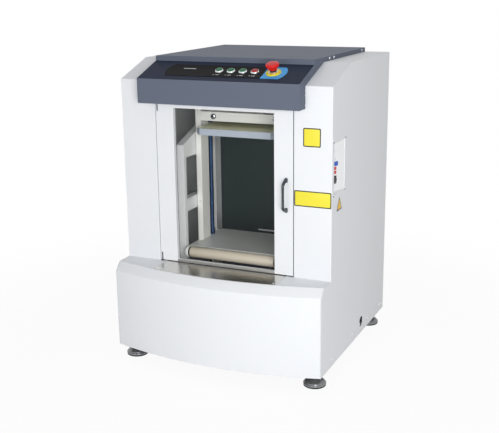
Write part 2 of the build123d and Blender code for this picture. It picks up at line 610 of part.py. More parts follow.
with BuildPart() as stop_plunger:
    with BuildSketch(console_plane.offset(-SWITCH_DEPTH + 14 + ESTOP_TRAVEL + 0.5)):
        with Locations((ESTOP_X, CONTROLS_UP)):
            Circle(stem_well_r - 0.3)
    extrude(amount=SWITCH_DEPTH - 14 - ESTOP_TRAVEL - 0.5 + face_lift + STOP_RING_H + STOP_HEAD_GAP)
save(stop_plunger, "stop_plunger")

with BuildPart() as stop_head:
    head_base = face_lift + STOP_RING_H + STOP_HEAD_GAP
    with BuildSketch(Plane(origin=console_plane.from_local_coords((ESTOP_X, CONTROLS_UP, head_base)),
                           x_dir=(1, 0, 0), z_dir=console_plane.y_dir * -1)) as head_half:
        with BuildLine():
            Polyline((0, 0), (ESTOP_HEAD_R * 0.62, 0), (ESTOP_HEAD_R * 0.7, 6), (ESTOP_HEAD_R - 1, 8.5),
                     (ESTOP_HEAD_R, 10.5), (ESTOP_HEAD_R - 0.6, STOP_HEAD_H - 3))
            Spline((ESTOP_HEAD_R - 0.6, STOP_HEAD_H - 3), (ESTOP_HEAD_R * 0.75, STOP_HEAD_H - 0.6),
                   (0, STOP_HEAD_H), tangents=((-0.2, 1), (-1, 0)))
            Line((0, STOP_HEAD_H), (0, 0))
        make_face()
    revolve(axis=Axis(console_plane.from_local_coords((ESTOP_X, CONTROLS_UP, 0)), console_plane.z_dir))
save(stop_head, "stop_head")

# ---- Service pocket and main switch ------------------------------------------------------
pocket_y0 = depth(POCKET_FRONT)
pocket_y1 = depth(POCKET_FRONT + POCKET_LENGTH)
pocket_high_z = POCKET_LOW_Z + POCKET_HEIGHT
panel_inner = SIDE_X - SHEET
pocket_slope = atan2(POCKET_SINK, POCKET_LENGTH)
SWITCH_ALONG = 51.0       # recess's deep end to the switch, past what the front lip hides
SWITCH_Z = 676.0
SWITCH_W = 17.0
SWITCH_H = 26.0
slant = Plane(origin=(SIDE_X - POCKET_SINK, pocket_y0, SWITCH_Z),
              x_dir=(sin(pocket_slope), cos(pocket_slope), 0), z_dir=(cos(pocket_slope), -sin(pocket_slope), 0))
wedge = [(SIDE_X, pocket_y0), (SIDE_X - POCKET_SINK, pocket_y0), (SIDE_X, pocket_y1)]
with BuildPart() as service_pocket:
    with BuildSketch(Plane.XY.offset(POCKET_LOW_Z - SHEET)):
        outline(wedge)
        offset(amount=SHEET, kind=Kind.INTERSECTION)
    extrude(amount=POCKET_HEIGHT + 2 * SHEET)
    block((panel_inner - SHEET, panel_inner), (pocket_y0 - 8, pocket_y1 + 10),
          (POCKET_LOW_Z - 10, pocket_high_z + 10))
    with BuildSketch(Plane.XY.offset(POCKET_LOW_Z)):
        outline([(SIDE_X + 5, pocket_y0), (SIDE_X - POCKET_SINK, pocket_y0), (SIDE_X, pocket_y1),
                 (SIDE_X + 5, pocket_y1)])
    extrude(amount=POCKET_HEIGHT, mode=Mode.SUBTRACT)
    block((panel_inner, SIDE_X + 20), (pocket_y0 - 30, pocket_y1 + 60), (POCKET_LOW_Z - 30, pocket_high_z + 30),
          mode=Mode.SUBTRACT)
    with BuildSketch(slant.offset(-5)):
        with Locations((SWITCH_ALONG, 0)):
            Rectangle(SWITCH_W - 3, SWITCH_H - 3)
    extrude(amount=10, mode=Mode.SUBTRACT)
save(service_pocket, "service_pocket")

with BuildPart() as switch_housing:
    with BuildSketch(slant):
        with Locations((SWITCH_ALONG, 0)):
            Rectangle(SWITCH_W, SWITCH_H)
    extrude(amount=1.5)
    with BuildSketch(slant.offset(-14)):
        with Locations((SWITCH_ALONG, 0)):
            Rectangle(SWITCH_W - 3, SWITCH_H - 3)
    extrude(amount=14)
    with BuildSketch(slant.offset(-10)):
        with Locations((SWITCH_ALONG, 0)):
            Rectangle(SWITCH_W - 5, SWITCH_H - 5)
    extrude(amount=20, mode=Mode.SUBTRACT)
save(switch_housing, "switch_housing")

ROCKER_ANGLE = 8.0
with BuildPart() as main_switch_rocker:
    rocker_half = (SWITCH_H - 5) / 2 - 0.7
    rocker_plane = Plane(origin=slant.from_local_coords((SWITCH_ALONG - (SWITCH_W - 5.6) / 2, 0, 0)),
                         x_dir=slant.y_dir, z_dir=slant.x_dir)
    with BuildSketch(rocker_plane):
        with BuildLine():
            ThreePointArc((-rocker_half, -4.2), (0, -2.6), (rocker_half, -4.2))
            Line((rocker_half, -4.2), (rocker_half * 0.86, 2))
            ThreePointArc((rocker_half * 0.86, 2), (0, 5), (-rocker_half * 0.86, 2))
            Line((-rocker_half * 0.86, 2), (-rocker_half, -4.2))
        make_face()
    extrude(amount=SWITCH_W - 5.6)
save(main_switch_rocker, "main_switch_rocker")

# ---- Door --------------------------------------------------------------------------------
door_half = DOORWAY_HALF - DOOR_GAP
door_low_z = SHELF_Z + DOOR_FLOOR_GAP
door_back_y = depth(DOOR_DEPTH)
door_mid_z = (door_low_z + DOOR_TOP_Z) / 2
window_mid_z = (WINDOW_BOTTOM_Z + WINDOW_TOP_Z) / 2
PIVOT_PIN_LENGTH = 34.0
with BuildPart() as door_frame:
    with BuildSketch(Plane.XZ.offset(-FASCIA_Y)):
        with Locations((0, door_mid_z)):
            Rectangle(2 * door_half, DOOR_TOP_Z - door_low_z)
        with Locations((0, window_mid_z)):
            Rectangle(2 * WINDOW_HALF, WINDOW_TOP_Z - WINDOW_BOTTOM_Z, mode=Mode.SUBTRACT)
    extrude(amount=-DOOR_DEPTH)
    fillet(door_frame.edges().filter_by(Axis.Y).group_by(Axis.Z)[0], 2)
    with BuildSketch(Plane.XZ.offset(-depth(SHEET))):
        with Locations((0, door_mid_z)):
            Rectangle(2 * (door_half - SHEET), DOOR_TOP_Z - door_low_z - 2 * SHEET)
        with Locations((0, window_mid_z)):
            Rectangle(2 * (WINDOW_HALF + SHEET), WINDOW_TOP_Z - WINDOW_BOTTOM_Z + 2 * SHEET,
                      mode=Mode.SUBTRACT)
    extrude(amount=-DOOR_DEPTH, mode=Mode.SUBTRACT)
    pin_block = 6.0
    for block_z in ((door_low_z, door_low_z + PIVOT_PIN_LENGTH - 8),
                    (DOOR_TOP_Z - PIVOT_PIN_LENGTH + 8, DOOR_TOP_Z)):
        block((-door_half, PIVOT_X + pin_block), (FASCIA_Y, PIVOT_Y + pin_block), block_z)
        rod_z(PIVOT_X, PIVOT_Y, (block_z[0] - 1, block_z[1] + 1), PIVOT_R, mode=Mode.SUBTRACT)
    # a backing block behind the handle takes its screws
    block((HANDLE_X - 10, HANDLE_X + 10), (depth(SHEET), depth(DOOR_DEPTH - 4)),
          (HANDLE_LOW_Z - 12, HANDLE_HIGH_Z + 12))
save(door_frame, "door_frame")

pane_half = WINDOW_HALF + PANE_LAP
pane_low = WINDOW_BOTTOM_Z - 4
pane_high = WINDOW_TOP_Z + PANE_LAP
pane_y = door_back_y + 1.5
with BuildPart() as door_window:
    block((-pane_half, pane_half), (pane_y, pane_y + PANE_THICK), (pane_low, pane_high))
save(door_window, "door_window")

SEAL_WALL = 2.5
SEAL_LAP = 3.0
with BuildPart() as window_seal:
    block((-pane_half - SEAL_WALL, pane_half + SEAL_WALL), (door_back_y, pane_y + PANE_THICK + 1.5),
          (pane_low - SEAL_WALL, pane_high + SEAL_WALL))
    block((-pane_half + SEAL_LAP, pane_half - SEAL_LAP), (door_back_y - 1, pane_y + PANE_THICK + 3),
          (pane_low + SEAL_LAP, pane_high - SEAL_LAP), mode=Mode.SUBTRACT)
    block((-pane_half, pane_half), (pane_y, pane_y + PANE_THICK), (pane_low, pane_high), mode=Mode.SUBTRACT)
save(window_seal, "window_seal")

CATCH_IN = 35.0
CATCH_X = DOORWAY_HALF - CATCH_IN
CATCH_HALF = 16.0
lower_pin = (SHELF_Z - 10, door_low_z + PIVOT_PIN_LENGTH - 9)
upper_pin = (DOOR_TOP_Z - PIVOT_PIN_LENGTH + 9, PIVOT_PLATE_Z + PIVOT_PLATE_THICK + 3)
with BuildPart() as door_pivot_pins:
    for pin_span in (lower_pin, upper_pin):
        rod_z(PIVOT_X, PIVOT_Y, pin_span, PIVOT_R)
save(door_pivot_pins, "door_pivot_pins")

with BuildPart() as door_fittings:
    # two flanged pivot bushes, and the magnet block that holds the door shut
    rod_z(PIVOT_X, PIVOT_Y, (SHELF_Z - 10, SHELF_Z), BUSH_R)
    rod_z(PIVOT_X, PIVOT_Y, (SHELF_Z, door_low_z - 0.5), BUSH_R + 1.5)
    rod_z(PIVOT_X, PIVOT_Y, (PIVOT_PLATE_Z, PIVOT_PLATE_Z + PIVOT_PLATE_THICK + 2), BUSH_R)
    rod_z(PIVOT_X, PIVOT_Y, (DOOR_TOP_Z + 0.5, PIVOT_PLATE_Z), BUSH_R + 1.5)
    rod_z(PIVOT_X, PIVOT_Y, (SHELF_Z - 20, PIVOT_PLATE_Z + 20), PIVOT_R + RUNNING, mode=Mode.SUBTRACT)
    block((CATCH_X - CATCH_HALF, CATCH_X + CATCH_HALF), (door_back_y + 0.3, HEADER_FRONT_Y),
          (DOOR_TOP_Z - 9, DOOR_TOP_Z + 1))
save(door_fittings, "door_fittings")

HANDLE_FOOT_WIDTH = 2 * HANDLE_R + 1
HANDLE_FOOT_HEIGHT = 15.0
HANDLE_FOOT_THICK = 1.5
foot_shift = (HANDLE_FOOT_HEIGHT - HANDLE_FOOT_WIDTH) / 2
with BuildPart() as door_handle:
    with BuildLine() as bow:
        bar_y = depth(-HANDLE_REACH + HANDLE_R)
        FilletPolyline((HANDLE_X, FASCIA_Y, HANDLE_LOW_Z), (HANDLE_X, bar_y, HANDLE_LOW_Z + 14),
                       (HANDLE_X, bar_y, HANDLE_HIGH_Z - 14), (HANDLE_X, FASCIA_Y, HANDLE_HIGH_Z), radius=12)
    with BuildSketch(bow.line ^ 0):
        Circle(HANDLE_R)
    sweep()
    block((HANDLE_X - 12, HANDLE_X + 12), (FASCIA_Y, depth(12)), (HANDLE_LOW_Z - 12, HANDLE_HIGH_Z + 12),
          mode=Mode.SUBTRACT)
    # each arm flares into a slim oval foot
    for foot_z in (HANDLE_LOW_Z + foot_shift, HANDLE_HIGH_Z - foot_shift):
        with BuildSketch(Plane.XZ.offset(-FASCIA_Y)):
            with Locations((HANDLE_X, foot_z)):
                SlotOverall(HANDLE_FOOT_HEIGHT, HANDLE_FOOT_WIDTH, rotation=90)
        extrude(amount=HANDLE_FOOT_THICK)
save(door_handle, "door_handle")

# ---- Stands and bearings -----------------------------------------------------------------
STAND_SLOPE = (SHOULDER_Z - COLUMN_TOP_Z) / SHOULDER_RUN
STAND_BACK_TOP_Z = STAND_FRONT_TOP_Z + (STAND_BACK - STAND_FRONT - 20) * STAND_SLOPE
STAND_TOP_BAND = 47.0     # front corner to the upper window
STAND_WINDOWS = ((556.0, STAND_FRONT_TOP_Z - STAND_TOP_BAND), (180.0, 510.0))
stand_outline = [(depth(STAND_FRONT), FLOOR_Z), (depth(STAND_FRONT), STAND_FRONT_TOP_Z),
                 (depth(STAND_BACK - 20), STAND_BACK_TOP_Z), (depth(STAND_BACK), STAND_BACK_TOP_Z),
                 (depth(STAND_BACK), FLOOR_Z)]
TRUNNION_ROOM_R = TRUNNION_R + 4
BRACE_Z = (512.0, 554.0)
BRACE_WALL = 3.0
STAND_WALL = 3.0


def stand(side):
    """Channel-folded stand with two windows, a crossbar and the hole that the trunnion passes."""
    with BuildPart() as frame:
        with BuildSketch(Plane.YZ.offset(min(side * STAND_INNER, side * (STAND_INNER + STAND_WIDTH)))):
            outline(stand_outline)
            for low, high in STAND_WINDOWS:
                with Locations((depth((STAND_FRONT + STAND_BACK) / 2), (low + high) / 2)):
                    Rectangle(STAND_BACK - STAND_FRONT - 2 * STAND_STILE, high - low, mode=Mode.SUBTRACT)
            with Locations((ROCK_Y, ROCK_Z)):
                Circle(TRUNNION_ROOM_R, mode=Mode.SUBTRACT)
        extrude(amount=STAND_WIDTH)
        # the folds leave both cells open to the side panel, and the crossbar closed
        cell_x = (side * (STAND_INNER + STAND_WALL), side * (STAND_INNER + STAND_WIDTH + 1))
        cell_y = (depth(STAND_FRONT + STAND_WALL), depth(STAND_BACK - STAND_WALL))
        block(cell_x, cell_y, (FLOOR_Z + STAND_WALL, STAND_WINDOWS[1][1]), mode=Mode.SUBTRACT)
        with BuildSketch(Plane.YZ.offset(min(cell_x))):
            outline([(cell_y[0], STAND_WINDOWS[0][0]), (cell_y[0], STAND_FRONT_TOP_Z - STAND_WALL),
                     (depth(STAND_BACK - 20), STAND_BACK_TOP_Z - STAND_WALL),
                     (cell_y[1], STAND_BACK_TOP_Z - STAND_WALL), (cell_y[1], STAND_WINDOWS[0][0])])
        extrude(amount=abs(cell_x[1] - cell_x[0]), mode=Mode.SUBTRACT)
        # angle brace from the crossbar to the side panel
        brace_x = (side * (STAND_INNER + STAND_WIDTH), side * (SIDE_X - SHEET))
        block(brace_x, (depth(STAND_FRONT + 4), depth(STAND_FRONT + 4 + BRACE_WALL)), BRACE_Z)
        block(brace_x, (depth(STAND_FRONT + 4), depth(STAND_FRONT + 30)), (BRACE_Z[0], BRACE_Z[0] + BRACE_WALL))
    return frame


save(stand(-1), "left_stand")
save(stand(1), "right_stand")

HOUSING_R = 34.0
HOUSING_THICK = 8.0
HOUSING_BOSS_R = 24.0
HOUSING_BOSS = 20.0
stand_outer = STAND_INNER + STAND_WIDTH
with BuildPart() as trunnion_bearings:
    for side in (-1, 1):
        with BuildSketch(Plane.YZ.offset(min(side * stand_outer, side * (stand_outer + HOUSING_THICK)))):
            with Locations((ROCK_Y, ROCK_Z)):
                SlotCenterToCenter(2 * HOUSING_R, 42)
        extrude(amount=HOUSING_THICK)
        rod_x((side * stand_outer, side * (stand_outer + HOUSING_BOSS)), ROCK_Y, ROCK_Z, HOUSING_BOSS_R)
        rod_x((side * (stand_outer - 1), side * (stand_outer + HOUSING_BOSS + 1)), ROCK_Y, ROCK_Z,
              TRUNNION_R + RUNNING, mode=Mode.SUBTRACT)
    for side in (-1, 1):
        for bolt_y in (ROCK_Y - HOUSING_R, ROCK_Y + HOUSING_R):
            with BuildSketch(Plane.YZ.offset(min(side * (stand_outer + HOUSING_THICK),
                                                 side * (stand_outer + HOUSING_THICK + 6)))):
                with Locations((bolt_y, ROCK_Z)):
                    RegularPolygon(8, 6)
            extrude(amount=6)
save(trunnion_bearings, "trunnion_bearings")

# ---- Cradle ------------------------------------------------------------------------------
upright_front_y = depth(UPRIGHT_FRONT)
upright_back_y = depth(UPRIGHT_FRONT + UPRIGHT_DEPTH)
upright_outer = UPRIGHT_INNER + UPRIGHT_WIDTH
rail_top_z = PLATFORM_Z - PLATFORM_THICK
rail_low_z = rail_top_z - RAIL_DROP
GREASE_HOLE_R = 3.5
HUB_HALF = 30.0
trunnion_end = UPRIGHT_INNER + UPRIGHT_WALL


with BuildPart() as cradle_uprights:
    # channels with their open sides outwards and a solid hub where each trunnion is held
    for side in (-1, 1):
        with BuildSketch(Plane.XY.offset(rail_top_z)):
            with Locations((side * (UPRIGHT_INNER + UPRIGHT_WIDTH / 2), (upright_front_y + upright_back_y) / 2)):
                Rectangle(UPRIGHT_WIDTH, UPRIGHT_DEPTH)
            with Locations((side * (UPRIGHT_INNER + UPRIGHT_WALL + UPRIGHT_WIDTH / 2),
                            (upright_front_y + upright_back_y) / 2)):
                Rectangle(UPRIGHT_WIDTH, UPRIGHT_DEPTH - 2 * UPRIGHT_WALL, mode=Mode.SUBTRACT)
        extrude(amount=UPRIGHT_TOP_Z - rail_top_z)
        block((side * UPRIGHT_INNER, side * upright_outer), (upright_front_y, upright_back_y),
              (ROCK_Z - HUB_HALF, ROCK_Z + HUB_HALF))
        rod_x((side * trunnion_end, side * (upright_outer + 1)), ROCK_Y, ROCK_Z, TRUNNION_R,
              mode=Mode.SUBTRACT)
        with BuildSketch(Plane.XZ.offset(-upright_front_y)):
            with Locations((side * (UPRIGHT_INNER + UPRIGHT_WIDTH / 2), ROCK_Z)):
                Circle(GREASE_HOLE_R)
        extrude(amount=-8, mode=Mode.SUBTRACT)
save(cradle_uprights, "cradle_uprights")

with BuildPart() as top_beam:
    with BuildSketch(Plane.YZ.offset(-UPRIGHT_INNER)):
        with Locations(((upright_front_y + upright_back_y) / 2, (BEAM_LOW_Z + BEAM_HIGH_Z) / 2)):
            Rectangle(UPRIGHT_DEPTH, BEAM_HIGH_Z - BEAM_LOW_Z)
        with Locations(((upright_front_y + upright_back_y) / 2, (BEAM_LOW_Z + BEAM_HIGH_Z) / 2 + UPRIGHT_WALL)):
            Rectangle(UPRIGHT_DEPTH - 2 * UPRIGHT_WALL, BEAM_HIGH_Z - BEAM_LOW_Z, mode=Mode.SUBTRACT)
    extrude(amount=2 * UPRIGHT_INNER)
    fillet(top_beam.edges().filter_by(Axis.X).group_by(Axis.Z)[0], 2)
save(top_beam, "top_beam")

BEAM_BOLT_X = 118.0
CLEVIS_WIDTH = 44.0
ROD_PIN_R = 8.0
CAP_FLANGE = 3.0
BRACKET_INNER = ROLLER_HALF + CAP_FLANGE + 1.5
BRACKET_WALL = 4.0
axle_half = BRACKET_INNER + BRACKET_WALL + 2
beam_mid_z = (BEAM_LOW_Z + BEAM_HIGH_Z) / 2
with BuildPart() as cradle_pins:
    # beam bolts with washers, the two trunnions, the connecting rod's pin and the roller's axle
    with BuildSketch(Plane.XZ.offset(-upright_front_y)):
        with Locations((-BEAM_BOLT_X, beam_mid_z), (BEAM_BOLT_X, beam_mid_z)):
            Circle(10)
    extrude(amount=2)
    with BuildSketch(Plane.XZ.offset(-upright_front_y + 2)):
        with Locations((-BEAM_BOLT_X, beam_mid_z), (BEAM_BOLT_X, beam_mid_z)):
            Circle(6)
            RegularPolygon(3, 6, mode=Mode.SUBTRACT)
    extrude(amount=5)
    for side in (-1, 1):
        rod_x((side * trunnion_end, side * (stand_outer + HOUSING_BOSS - 2)), ROCK_Y, ROCK_Z, TRUNNION_R)
    rod_x((-CLEVIS_WIDTH / 2 - 3, CLEVIS_WIDTH / 2 + 3), depth(ROD_PIN_DEPTH), ROD_PIN_Z, ROD_PIN_R)
    rod_x((-axle_half, axle_half), depth(ROLLER_DEPTH), ROLLER_Z, AXLE_R)
save(cradle_pins, "cradle_pins")

rail_front_y = depth(PLATFORM_FRONT + 5)
rail_back_y = depth(PLATFORM_BACK)
rail_inner = UPRIGHT_INNER + 1
CROSS_MEMBER = 30.0
CROSS_WALL = 3.0
pin_y = depth(ROD_PIN_DEPTH)
CLEVIS_R = 16.0
with BuildPart() as lower_cradle_frame:
    for side in (-1, 1):
        block((side * rail_inner, side * upright_outer), (rail_front_y, rail_back_y), (rail_low_z, rail_top_z))
        rod_z(side * SCREW_X, depth(SCREW_DEPTH), (rail_top_z - 16, rail_top_z + 1), SCREW_R * 0.7 + RUNNING,
              mode=Mode.SUBTRACT)
    for cross_y in (rail_front_y + CROSS_MEMBER / 2, rail_back_y - CROSS_MEMBER / 2):
        block((-rail_inner, rail_inner), (cross_y - CROSS_MEMBER / 2, cross_y + CROSS_MEMBER / 2),
              (rail_low_z, rail_top_z))
        block((-rail_inner, rail_inner),
              (cross_y - CROSS_MEMBER / 2 + CROSS_WALL, cross_y + CROSS_MEMBER / 2 - CROSS_WALL),
              (rail_low_z, rail_top_z - CROSS_WALL), mode=Mode.SUBTRACT)
    # clevis for the connecting rod
    with BuildSketch(Plane.YZ.offset(-CLEVIS_WIDTH / 2)):
        outline([(rail_back_y - 2, ROD_PIN_Z - CLEVIS_R), (pin_y, ROD_PIN_Z - CLEVIS_R),
                 (pin_y, ROD_PIN_Z + CLEVIS_R), (rail_back_y - 2, ROD_PIN_Z + CLEVIS_R + 8)])
        with Locations((pin_y, ROD_PIN_Z)):
            Circle(CLEVIS_R)
    extrude(amount=CLEVIS_WIDTH)
    block((-ROD_THICK / 2 - 1, ROD_THICK / 2 + 1), (rail_back_y + 0.5, pin_y + 30),
          (ROD_PIN_Z - 40, ROD_PIN_Z + 40), mode=Mode.SUBTRACT)
    rod_x((-CLEVIS_WIDTH, CLEVIS_WIDTH), pin_y, ROD_PIN_Z, ROD_PIN_R, mode=Mode.SUBTRACT)
save(lower_cradle_frame, "lower_cradle_frame")

with BuildPart() as platform:
    block((-UPRIGHT_INNER + PANEL_GAP, UPRIGHT_INNER - PANEL_GAP), (depth(PLATFORM_FRONT), depth(PLATFORM_BACK)),
          (rail_top_z, PLATFORM_Z))
    fillet(platform.edges().filter_by(Axis.X).group_by(Axis.Y)[0].sort_by(Axis.Z)[-1], 3)
save(platform, "platform")

roller_y = depth(ROLLER_DEPTH)
with BuildPart() as feed_roller:
    rod_x((-ROLLER_HALF, ROLLER_HALF), roller_y, ROLLER_Z, ROLLER_R)
    rod_x((-ROLLER_HALF - 1, ROLLER_HALF + 1), roller_y, ROLLER_Z, ROLLER_R - ROLLER_WALL, mode=Mode.SUBTRACT)
save(feed_roller, "feed_roller")

with BuildPart() as roller_end_caps:
    for side in (-1, 1):
        rod_x((side * (ROLLER_HALF - 12), side * ROLLER_HALF), roller_y, ROLLER_Z, ROLLER_R - ROLLER_WALL)
        rod_x((side * ROLLER_HALF, side * (ROLLER_HALF + CAP_FLANGE)), roller_y, ROLLER_Z, ROLLER_R)
    rod_x((-WIDTH / 2, WIDTH / 2), roller_y, ROLLER_Z, AXLE_R + RUNNING, mode=Mode.SUBTRACT)
save(roller_end_caps, "roller_end_caps")

with BuildPart() as roller_brackets:
    for side in (-1, 1):
        bracket_x = side * BRACKET_INNER
        with BuildSketch(Plane.YZ.offset(min(bracket_x, bracket_x + side * BRACKET_WALL))):
            with Locations((roller_y, ROLLER_Z)):
                Circle(12)
            outline([(roller_y, ROLLER_Z - 12), (rail_front_y, rail_low_z), (rail_front_y, rail_top_z),
                     (roller_y, ROLLER_Z + 12)])
            with Locations((roller_y, ROLLER_Z)):
                Circle(AXLE_R, mode=Mode.SUBTRACT)
        extrude(amount=BRACKET_WALL)
        block((side * rail_inner, side * upright_outer), (rail_front_y - 4, rail_front_y), (rail_low_z, rail_top_z))
save(roller_brackets, "roller_brackets")

# ---- Clamp -------------------------------------------------------------------------------
screw_y = depth(SCREW_DEPTH)
CLAMP_SHEET = 3.0
CLAMP_BACK = SCREW_DEPTH + 22
NOTCH = 20.0
clamp_top_z = CLAMP_LOW_Z + CLAMP_FLANGE
with BuildPart() as clamp_plate:
    # the tray narrows to its front, where its corners are notched
    with BuildSketch(Plane.XY.offset(CLAMP_LOW_Z)):
        outline([(-CLAMP_HALF + NOTCH, depth(CLAMP_FRONT)), (CLAMP_HALF - NOTCH, depth(CLAMP_FRONT)),
                 (CLAMP_HALF, depth(CLAMP_FRONT + NOTCH)), (CLAMP_HALF, depth(CLAMP_BACK)),
                 (-CLAMP_HALF, depth(CLAMP_BACK)), (-CLAMP_HALF, depth(CLAMP_FRONT + NOTCH))])
    extrude(amount=CLAMP_FLANGE)
    tray_bottom = clamp_plate.faces().sort_by(Axis.Z)[0]
    offset(amount=-CLAMP_SHEET, openings=tray_bottom, kind=Kind.INTERSECTION)
save(clamp_plate, "clamp_plate")

CARRIAGE_HEIGHT = 40.0
carriage_low = CLAMP_LOW_Z - 8
with BuildPart() as clamp_carriage:
    block((-CLAMP_HALF + 6, CLAMP_HALF - 6), (screw_y - 18, screw_y + 18), (carriage_low, clamp_top_z - CLAMP_SHEET))
    for side in (-1, 1):
        block((side * (CLAMP_HALF - 24), side * (SCREW_X - 4)), (screw_y - 9, screw_y + 9),
              (carriage_low - 16, carriage_low))
        rod_z(side * SCREW_X, screw_y, (carriage_low - 16, carriage_low + CARRIAGE_HEIGHT - 16), SCREW_COLLAR_R)
        rod_z(side * SCREW_X, screw_y, (carriage_low - 20, carriage_low + CARRIAGE_HEIGHT), SCREW_R + RUNNING,
              mode=Mode.SUBTRACT)
save(clamp_carriage, "clamp_carriage")

head_low_z = UPRIGHT_TOP_Z
head_top_z = head_low_z + HEAD_PLATE_THICK
belt_z = head_top_z + 4
SCREW_JOURNAL_R = SCREW_R * 0.7
with BuildPart() as head_plate:
    block((-HEAD_PLATE_HALF, HEAD_PLATE_HALF), (upright_front_y + 4, screw_y + HEAD_PLATE_BACK),
          (head_low_z, head_top_z))
    for side in (-1, 1):
        rod_z(side * SCREW_X, screw_y, (head_low_z - 1, head_top_z + 1), SCREW_R + RUNNING, mode=Mode.SUBTRACT)
    # bridge over the belt, which carries the clamp motor
    for leg_y in (screw_y - 38, screw_y + 36):
        block((-46, 46), (leg_y, leg_y + 3), (head_top_z, belt_z + CLAMP_BELT_WIDTH + 8))
    block((-46, 46), (screw_y - 38, screw_y + 39), (belt_z + CLAMP_BELT_WIDTH + 5, belt_z + CLAMP_BELT_WIDTH + 8))
    rod_z(0, screw_y, (head_top_z + 5, belt_z + CLAMP_BELT_WIDTH + 10), 12, mode=Mode.SUBTRACT)
save(head_plate, "head_plate")

bridge_top_z = belt_z + CLAMP_BELT_WIDTH + 8


def lead_screw(side):
    """Clamp screw with its lower journal, and on its top a flanged belt pulley."""
    with BuildPart() as screw:
        rod_z(side * SCREW_X, screw_y, (rail_top_z - 14, rail_top_z + 1), SCREW_JOURNAL_R)
        rod_z(side * SCREW_X, screw_y, (rail_top_z + 0.5, belt_z + CLAMP_BELT_WIDTH), SCREW_R)
        rod_z(side * SCREW_X, screw_y, (belt_z - 2, belt_z + CLAMP_BELT_WIDTH + 2), SCREW_PULLEY_R)
        for flange_z in (belt_z - 3, belt_z + CLAMP_BELT_WIDTH + 1.5):
            rod_z(side * SCREW_X, screw_y, (flange_z, flange_z + 1.5), SCREW_PULLEY_R + 3)
    return screw


save(lead_screw(-1), "left_clamp_screw")
save(lead_screw(1), "right_clamp_screw")

with BuildPart() as screw_collars:
    for side in (-1, 1):
        with BuildSketch(Plane.XY.offset(rail_top_z)):
            with Locations((side * SCREW_X, screw_y)):
                Circle(SCREW_COLLAR_R)
                Circle(SCREW_R + RUNNING, mode=Mode.SUBTRACT)
        extrude(amount=22)
save(screw_collars, "screw_collars")

belt_inner = SCREW_PULLEY_R + BELT_GAP
with BuildPart() as clamp_belt:
    with BuildSketch(Plane.XY.offset(belt_z)):
        with Locations((0, screw_y)):
            SlotCenterToCenter(2 * SCREW_X, 2 * (belt_inner + BELT_THICK))
            SlotCenterToCenter(2 * SCREW_X, 2 * belt_inner, mode=Mode.SUBTRACT)
    extrude(amount=CLAMP_BELT_WIDTH)
save(clamp_belt, "clamp_belt")

CLAMP_MOTOR_R = 34.0
CLAMP_MOTOR_H = 84.0
CLAMP_SHAFT_R = 7.0
with BuildPart() as clamp_motor:
    rod_z(0, screw_y, (bridge_top_z, bridge_top_z + CLAMP_MOTOR_H), CLAMP_MOTOR_R)
    with BuildSketch(Plane.XY.offset(bridge_top_z)):
        with Locations((0, screw_y)):
            RectangleRounded(2 * CLAMP_MOTOR_R + 6, 2 * CLAMP_MOTOR_R + 6, 6)
    extrude(amount=6)
    rod_z(0, screw_y, (bridge_top_z - 2, bridge_top_z), 11.5)
save(clamp_motor, "clamp_motor")

with BuildPart() as clamp_motor_pulley:
    rod_z(0, screw_y, (belt_z, belt_z + CLAMP_BELT_WIDTH), SCREW_PULLEY_R)
    rod_z(0, screw_y, (belt_z + CLAMP_BELT_WIDTH, bridge_top_z - 2.5), CLAMP_SHAFT_R)
save(clamp_motor_pulley, "clamp_motor_pulley")

# ---- Drive -------------------------------------------------------------------------------
crank_y = depth(CRANK_DEPTH)
shaft_z = ROD_PIN_Z - CRANK_THROW
ROD_EYE_R = 20.0
ROD_END_R = 16.0
rod_side = ROD_THICK / 2
with BuildPart() as connecting_rod:
    with BuildSketch(Plane.YZ.offset(-rod_side)):
        with Locations((pin_y, ROD_PIN_Z)):
            Circle(ROD_END_R - 2)
        with Locations((crank_y, ROD_PIN_Z)):
            Circle(ROD_EYE_R)
        outline([(pin_y, ROD_PIN_Z - 8), (crank_y, ROD_PIN_Z - 11), (crank_y, ROD_PIN_Z + 11), (pin_y, ROD_PIN_Z + 8)])
        with Locations((pin_y, ROD_PIN_Z)):
            Circle(ROD_PIN_R + RUNNING, mode=Mode.SUBTRACT)
        with Locations((crank_y, ROD_PIN_Z)):
            Circle(10, mode=Mode.SUBTRACT)
    extrude(amount=ROD_THICK)
save(connecting_rod, "connecting_rod")

CRANK_DISC_R = 32.0
CRANK_DISC_X = rod_side + 3
SHAFT_END_X = 186.0
with BuildPart() as crank_shaft:
    rod_x((CRANK_DISC_X, CRANK_DISC_X + 12), crank_y, shaft_z, CRANK_DISC_R)
    rod_x((rod_side + 0.5, CRANK_DISC_X), crank_y, shaft_z + CRANK_THROW, 10)
    rod_x((CRANK_DISC_X, SHAFT_END_X), crank_y, shaft_z, SHAFT_R)
    chamfer(crank_shaft.faces().sort_by(Axis.X)[-1].edges(), 1.5)
save(crank_shaft, "crank_shaft")

